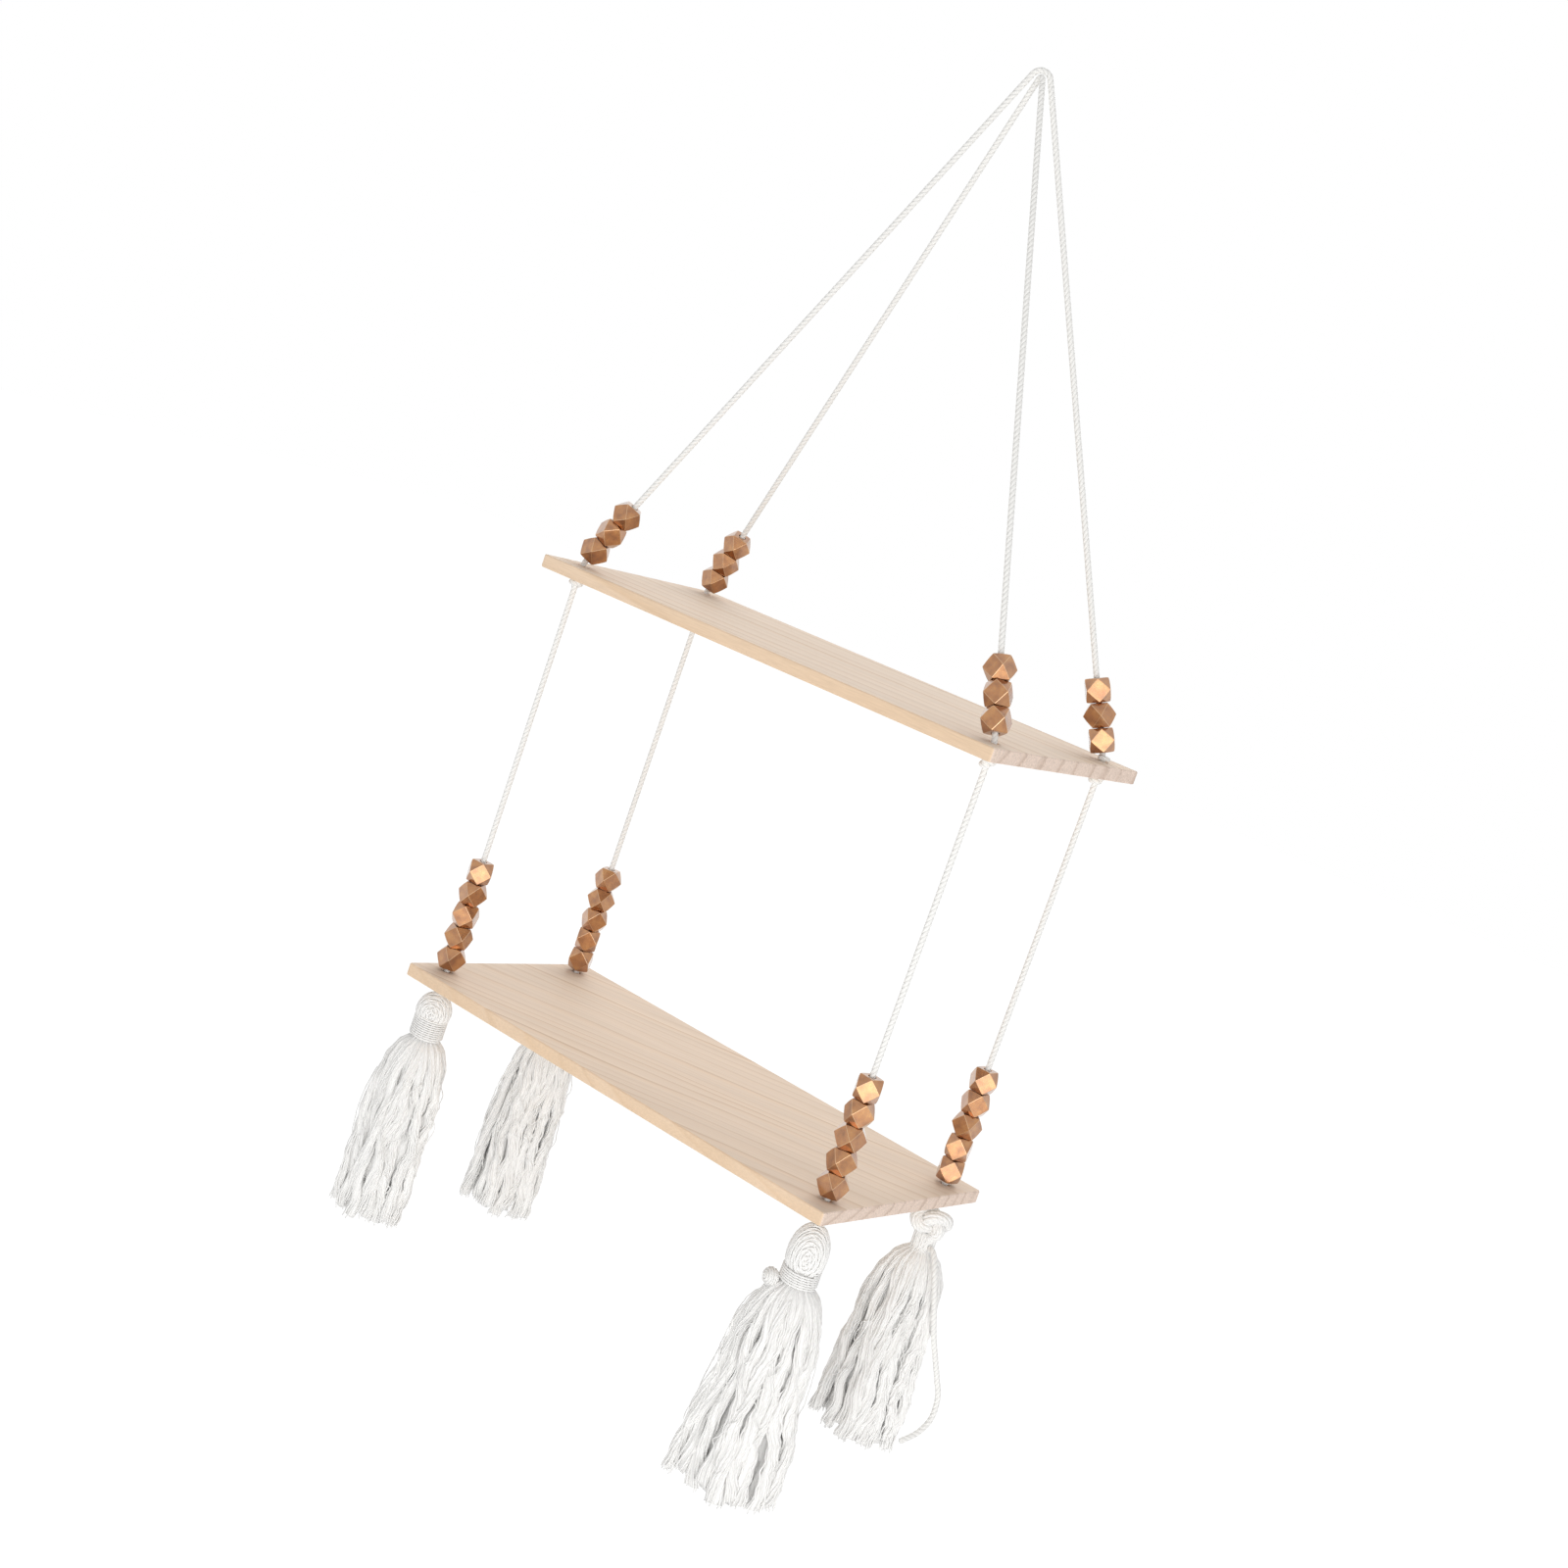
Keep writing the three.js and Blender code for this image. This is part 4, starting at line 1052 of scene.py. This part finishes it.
def add_camera():
    """The camera of the photograph: its place, its lens and a roll that tips the shelf."""
    data = bpy.data.cameras.new("camera")
    data.sensor_width = 36
    data.lens = 52.83
    camera = bpy.data.objects.new("camera", data)
    right = (0.748522, 0.576128, 0.328317)
    up = (-0.354906, -0.070165, 0.932265)
    back = (0.560140, -0.814343, 0.151951)
    turn = Matrix((right, up, back)).transposed().to_4x4()
    camera.matrix_world = Matrix.Translation((0.811056, -1.187564, -0.234592)) @ turn
    bpy.context.scene.collection.objects.link(camera)
    bpy.context.scene.camera = camera


def add_lamp(name, place, aim, size, power, mirrored):
    """A soft rectangular lamp, unseen itself, that glossy faces mirror or don't."""
    data = bpy.data.lights.new(name, "AREA")
    data.shape = "RECTANGLE"
    data.size, data.size_y = size
    data.energy = power
    lamp = bpy.data.objects.new(name, data)
    lamp.visible_camera = False
    lamp.visible_glossy = mirrored
    back = unit(np.array(place) - np.array(aim))
    right = unit(np.cross(UP, back))
    turn = Matrix((right, np.cross(back, right), back)).transposed().to_4x4()
    lamp.matrix_world = Matrix.Translation(place) @ turn
    bpy.context.scene.collection.objects.link(lamp)


def seen_directly(tree):
    """1 for rays from the eye and for mirrored and refracted ones, which see a white surround."""
    path = add(tree, "LightPath")
    mirrored = add(tree, "Math", {
        0: path.outputs["Is Camera Ray"], 1: path.outputs["Is Glossy Ray"]}, operation="MAXIMUM")
    return add(tree, "Math", {
        0: mirrored, 1: path.outputs["Is Transmission Ray"]}, operation="MAXIMUM")


def add_world(strength):
    """A white surround that lights the shelf softly."""
    world = bpy.data.worlds.new("white surround")
    bpy.context.scene.world = world
    world.use_nodes = True
    tree = world.node_tree
    tree.nodes.clear()
    level = add(tree, "MapRange", {"Value": seen_directly(tree), "To Min": strength, "To Max": 1.0})
    light = add(tree, "Background", {"Color": (1, 1, 1, 1), "Strength": level})
    add(tree, "OutputWorld", {"Surface": light})


def add_floor(depth):
    """A wide pale floor well below the shelf, white to the eye but for the shelf's shadow."""
    corners = np.array([[-1, -1, 0], [1, -1, 0], [1, 1, 0], [-1, 1, 0]]) * 14.0 + depth * UP
    floor = mesh_object("floor", corners, np.array([[0, 1, 2, 3]]), np.zeros((0, 3), int))
    material, tree, shader = new_material("pale floor")
    fill(tree, shader, {"Base Color": (0.9, 0.9, 0.9, 1), "Roughness": 0.9})
    glow = add(tree, "Emission", {"Color": (1, 1, 1, 1), "Strength": 1.2})
    glowing = 0.78                  # the rest of what the eye sees is lit, and so keeps the shadow
    share = add(tree, "Math", {0: seen_directly(tree), 1: glowing}, operation="MULTIPLY")
    both = add(tree, "MixShader", {0: share, 1: shader, 2: glow})
    output = next(n for n in tree.nodes if n.bl_idname == "ShaderNodeOutputMaterial")
    fill(tree, output, {"Surface": both})
    floor.data.materials.append(material)


# Settings that a user would change

def colour_setting(name, description, code):
    """A colour that a user can change, from its sRGB hex code."""
    return bpy.props.FloatVectorProperty(
        name=name, description=description, subtype="COLOR", min=0, max=1, default=linear(code))


def length_setting(name, description, metres, **limits):
    """A length that a user can change."""
    return bpy.props.FloatProperty(
        name=name, description=description, default=metres, unit="LENGTH", **limits)


def relief_setting(share):
    """How deep the grooves of a twisted cord or yarn are."""
    return bpy.props.FloatProperty(
        name="Relief", description="Depth of the grooves as a share of the radius",
        default=share, min=0, max=0.6, subtype="FACTOR")


class ShelfBoardSettings(bpy.types.PropertyGroup):
    """How the pine of both boards looks."""
    ring_spacing: length_setting(
        "Growth line spacing", "Distance between the lower board's growth lines", 0.0105, min=0.0005)
    pith_front: length_setting(
        "Pith to the front", "How far in front of the board's middle the tree's centre lies", 0.16)
    pith_above: length_setting(
        "Pith height", "How far above its top face the tree's centre lies", 0.05)
    early: colour_setting("Early wood", "Colour of the pale wood between the lines", "#EEDBC8")
    middle: colour_setting("Middle wood", "Colour of the wood before a line", "#E9D3BD")
    late: colour_setting("Late wood", "Colour of the growth lines", "#CFB397")
    edge: colour_setting("Edges", "Colour of the planed edges", "#EDCFAE")
    end_early: colour_setting("Sawn wood", "Colour of the sawn ends", "#EDD8C9")
    end_late: colour_setting("Sawn lines", "Colour of the growth lines on the sawn ends", "#D3BBAA")


class ShelfCordSettings(bpy.types.PropertyGroup):
    """Size and colour of the twisted cord."""
    diameter: length_setting("Diameter", "Thickness of the cord", 0.0038, min=0.001)
    lay: length_setting("Lay", "Length in which a strand winds once round", 0.0102, min=0.002)
    relief: relief_setting(0.2)
    colour: colour_setting("Colour", "Colour of the cotton", "#F6F5F2")


class ShelfBeadSettings(bpy.types.PropertyGroup):
    """Shape and paint of the beads."""
    bore: length_setting("Bore", "Diameter of the hole", 0.0047)
    edge_round: length_setting("Edge round", "Radius of the rounds along the edges", 0.00055)
    corner_wear: length_setting("Corner wear", "Depth that is worn off each corner", 0.0007)
    paint: colour_setting("Paint", "Colour of the paint", "#AC7341")
    thin_paint: colour_setting("Thin paint", "Colour where the paint lies thin", "#935F35")
    thick_paint: colour_setting("Thick paint", "Colour where the paint lies thick", "#BE874E")
    # A painted highlight along the bead edges, also standing for paint worn pale there
    edge_paint_and_highlight: colour_setting("Edge paint and highlight", "Colour of the painted highlight and worn paint along the edges", "#EBCBA2")


class ShelfTasselSettings(bpy.types.PropertyGroup):
    """How the tassels' yarn looks."""
    locks: bpy.props.IntProperty(
        name="Locks", description="Locks in the outer ring of a skirt", default=22, min=6)
    strands: bpy.props.IntProperty(
        name="Strands", description="Strands in each outer lock", default=9, min=3)
    yarn: length_setting("Yarn", "Thickness of a strand", 0.0013)
    ply_lay: length_setting("Ply lay", "Length in which a ply winds once round", 0.008)
    relief: relief_setting(0.26)
    colour: colour_setting("Colour", "Colour of the yarn", "#FBFAF8")


class ShelfStageSettings(bpy.types.PropertyGroup):
    """Light and floor."""
    surround: bpy.props.FloatProperty(
        name="Surround", description="Strength of the light from all round", default=0.55)
    lamps: bpy.props.FloatProperty(
        name="Lamps", description="Power that each lamp has its share of", default=38, subtype="POWER")
    floor: length_setting("Floor height", "Where the floor lies", -2.0)


# Operators, in the order that the main function calls them

class SHELF_OT_camera(bpy.types.Operator):
    """Set up the camera"""
    bl_idname = "shelf.camera"
    bl_label = "Camera"

    def execute(self, context):
        add_camera()
        return {"FINISHED"}


class SHELF_OT_cords(bpy.types.Operator):
    """Make the cords, their bends and their knots"""
    bl_idname = "shelf.cords"
    bl_label = "Cords"

    def execute(self, context):
        cord = cord_material()
        add_loose_end(cord)
        add_upper_cords(cord)
        add_lower_cords(cord)
        add_knots(cord)
        add_rest_coils(cord)
        return {"FINISHED"}


class SHELF_OT_boards(bpy.types.Operator):
    """Give both boards their pine"""
    bl_idname = "shelf.boards"
    bl_label = "Boards"

    def execute(self, context):
        for board in ("upper_shelf", "lower_shelf"):
            pine = pine_material(board)
            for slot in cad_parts[board].material_slots:
                slot.material = pine
        return {"FINISHED"}


class SHELF_OT_beads(bpy.types.Operator):
    """Make the beads"""
    bl_idname = "shelf.beads"
    bl_label = "Beads"

    def execute(self, context):
        add_beads(copper_material())
        return {"FINISHED"}


class SHELF_OT_tassels(bpy.types.Operator):
    """Make the tassels and the yarn round their necks"""
    bl_idname = "shelf.tassels"
    bl_label = "Tassels"

    def execute(self, context):
        yarn = yarn_material()
        for number, tag in enumerate(TAGS):
            add_tassel(tag, number, yarn)
        add_bindings(yarn)
        return {"FINISHED"}


class SHELF_OT_stage(bpy.types.Operator):
    """Make the floor, the surround and the lamps"""
    bl_idname = "shelf.stage"
    bl_label = "Stage"

    def execute(self, context):
        settings = context.scene.shelf_stage
        add_world(settings.surround)
        add_floor(settings.floor)
        aim = (0, 0, -0.45)
        front = (1.49, -1.75, -0.68)
        for name, place, size, share, mirrored in (
            ("front lamp", front, (2.3, 1.3), 0.6, True),
            ("front diffuser", front, (3.6, 2.6), 0.44, True),
            ("high lamp", (-0.9, 1.8, 1.05), (2.4, 2.4), 1.05, False),
        ):
            add_lamp(name, place, aim, size, share * settings.lamps, mirrored)
        context.scene.view_settings.view_transform = "Standard"
        return {"FINISHED"}


class SHELF_PT_panel(bpy.types.Panel):
    """Lists the makers of the shelf's pieces."""
    bl_idname = "SHELF_PT_panel"
    bl_label = "Rope Shelf"
    bl_space_type = "VIEW_3D"
    bl_region_type = "UI"
    bl_category = "Rope Shelf"

    def draw(self, context):
        for maker in MAKERS:
            self.layout.operator(maker.bl_idname)
        for name in SETTINGS:
            group = getattr(context.scene, name)
            for key in group.bl_rna.properties.keys():
                if key not in ("rna_type", "name"):
                    self.layout.prop(group, key)


MAKERS = (
    SHELF_OT_camera, SHELF_OT_cords, SHELF_OT_boards, SHELF_OT_beads, SHELF_OT_tassels, SHELF_OT_stage,
)
SETTINGS = {
    "shelf_boards": ShelfBoardSettings,
    "shelf_cords": ShelfCordSettings,
    "shelf_beads": ShelfBeadSettings,
    "shelf_tassels": ShelfTasselSettings,
    "shelf_stage": ShelfStageSettings,
}


def register():
    for group in (*SETTINGS.values(), *MAKERS, SHELF_PT_panel):
        bpy.utils.register_class(group)
    for name, group in SETTINGS.items():
        setattr(bpy.types.Scene, name, bpy.props.PointerProperty(type=group))


def unregister():
    for name in SETTINGS:
        delattr(bpy.types.Scene, name)
    for group in reversed((*SETTINGS.values(), *MAKERS, SHELF_PT_panel)):
        bpy.utils.unregister_class(group)


def main():
    register()
    bpy.ops.shelf.camera()
    bpy.ops.shelf.cords()
    bpy.ops.shelf.boards()
    bpy.ops.shelf.beads()
    bpy.ops.shelf.tassels()
    bpy.ops.shelf.stage()


if __name__ == "__main__":
    main()
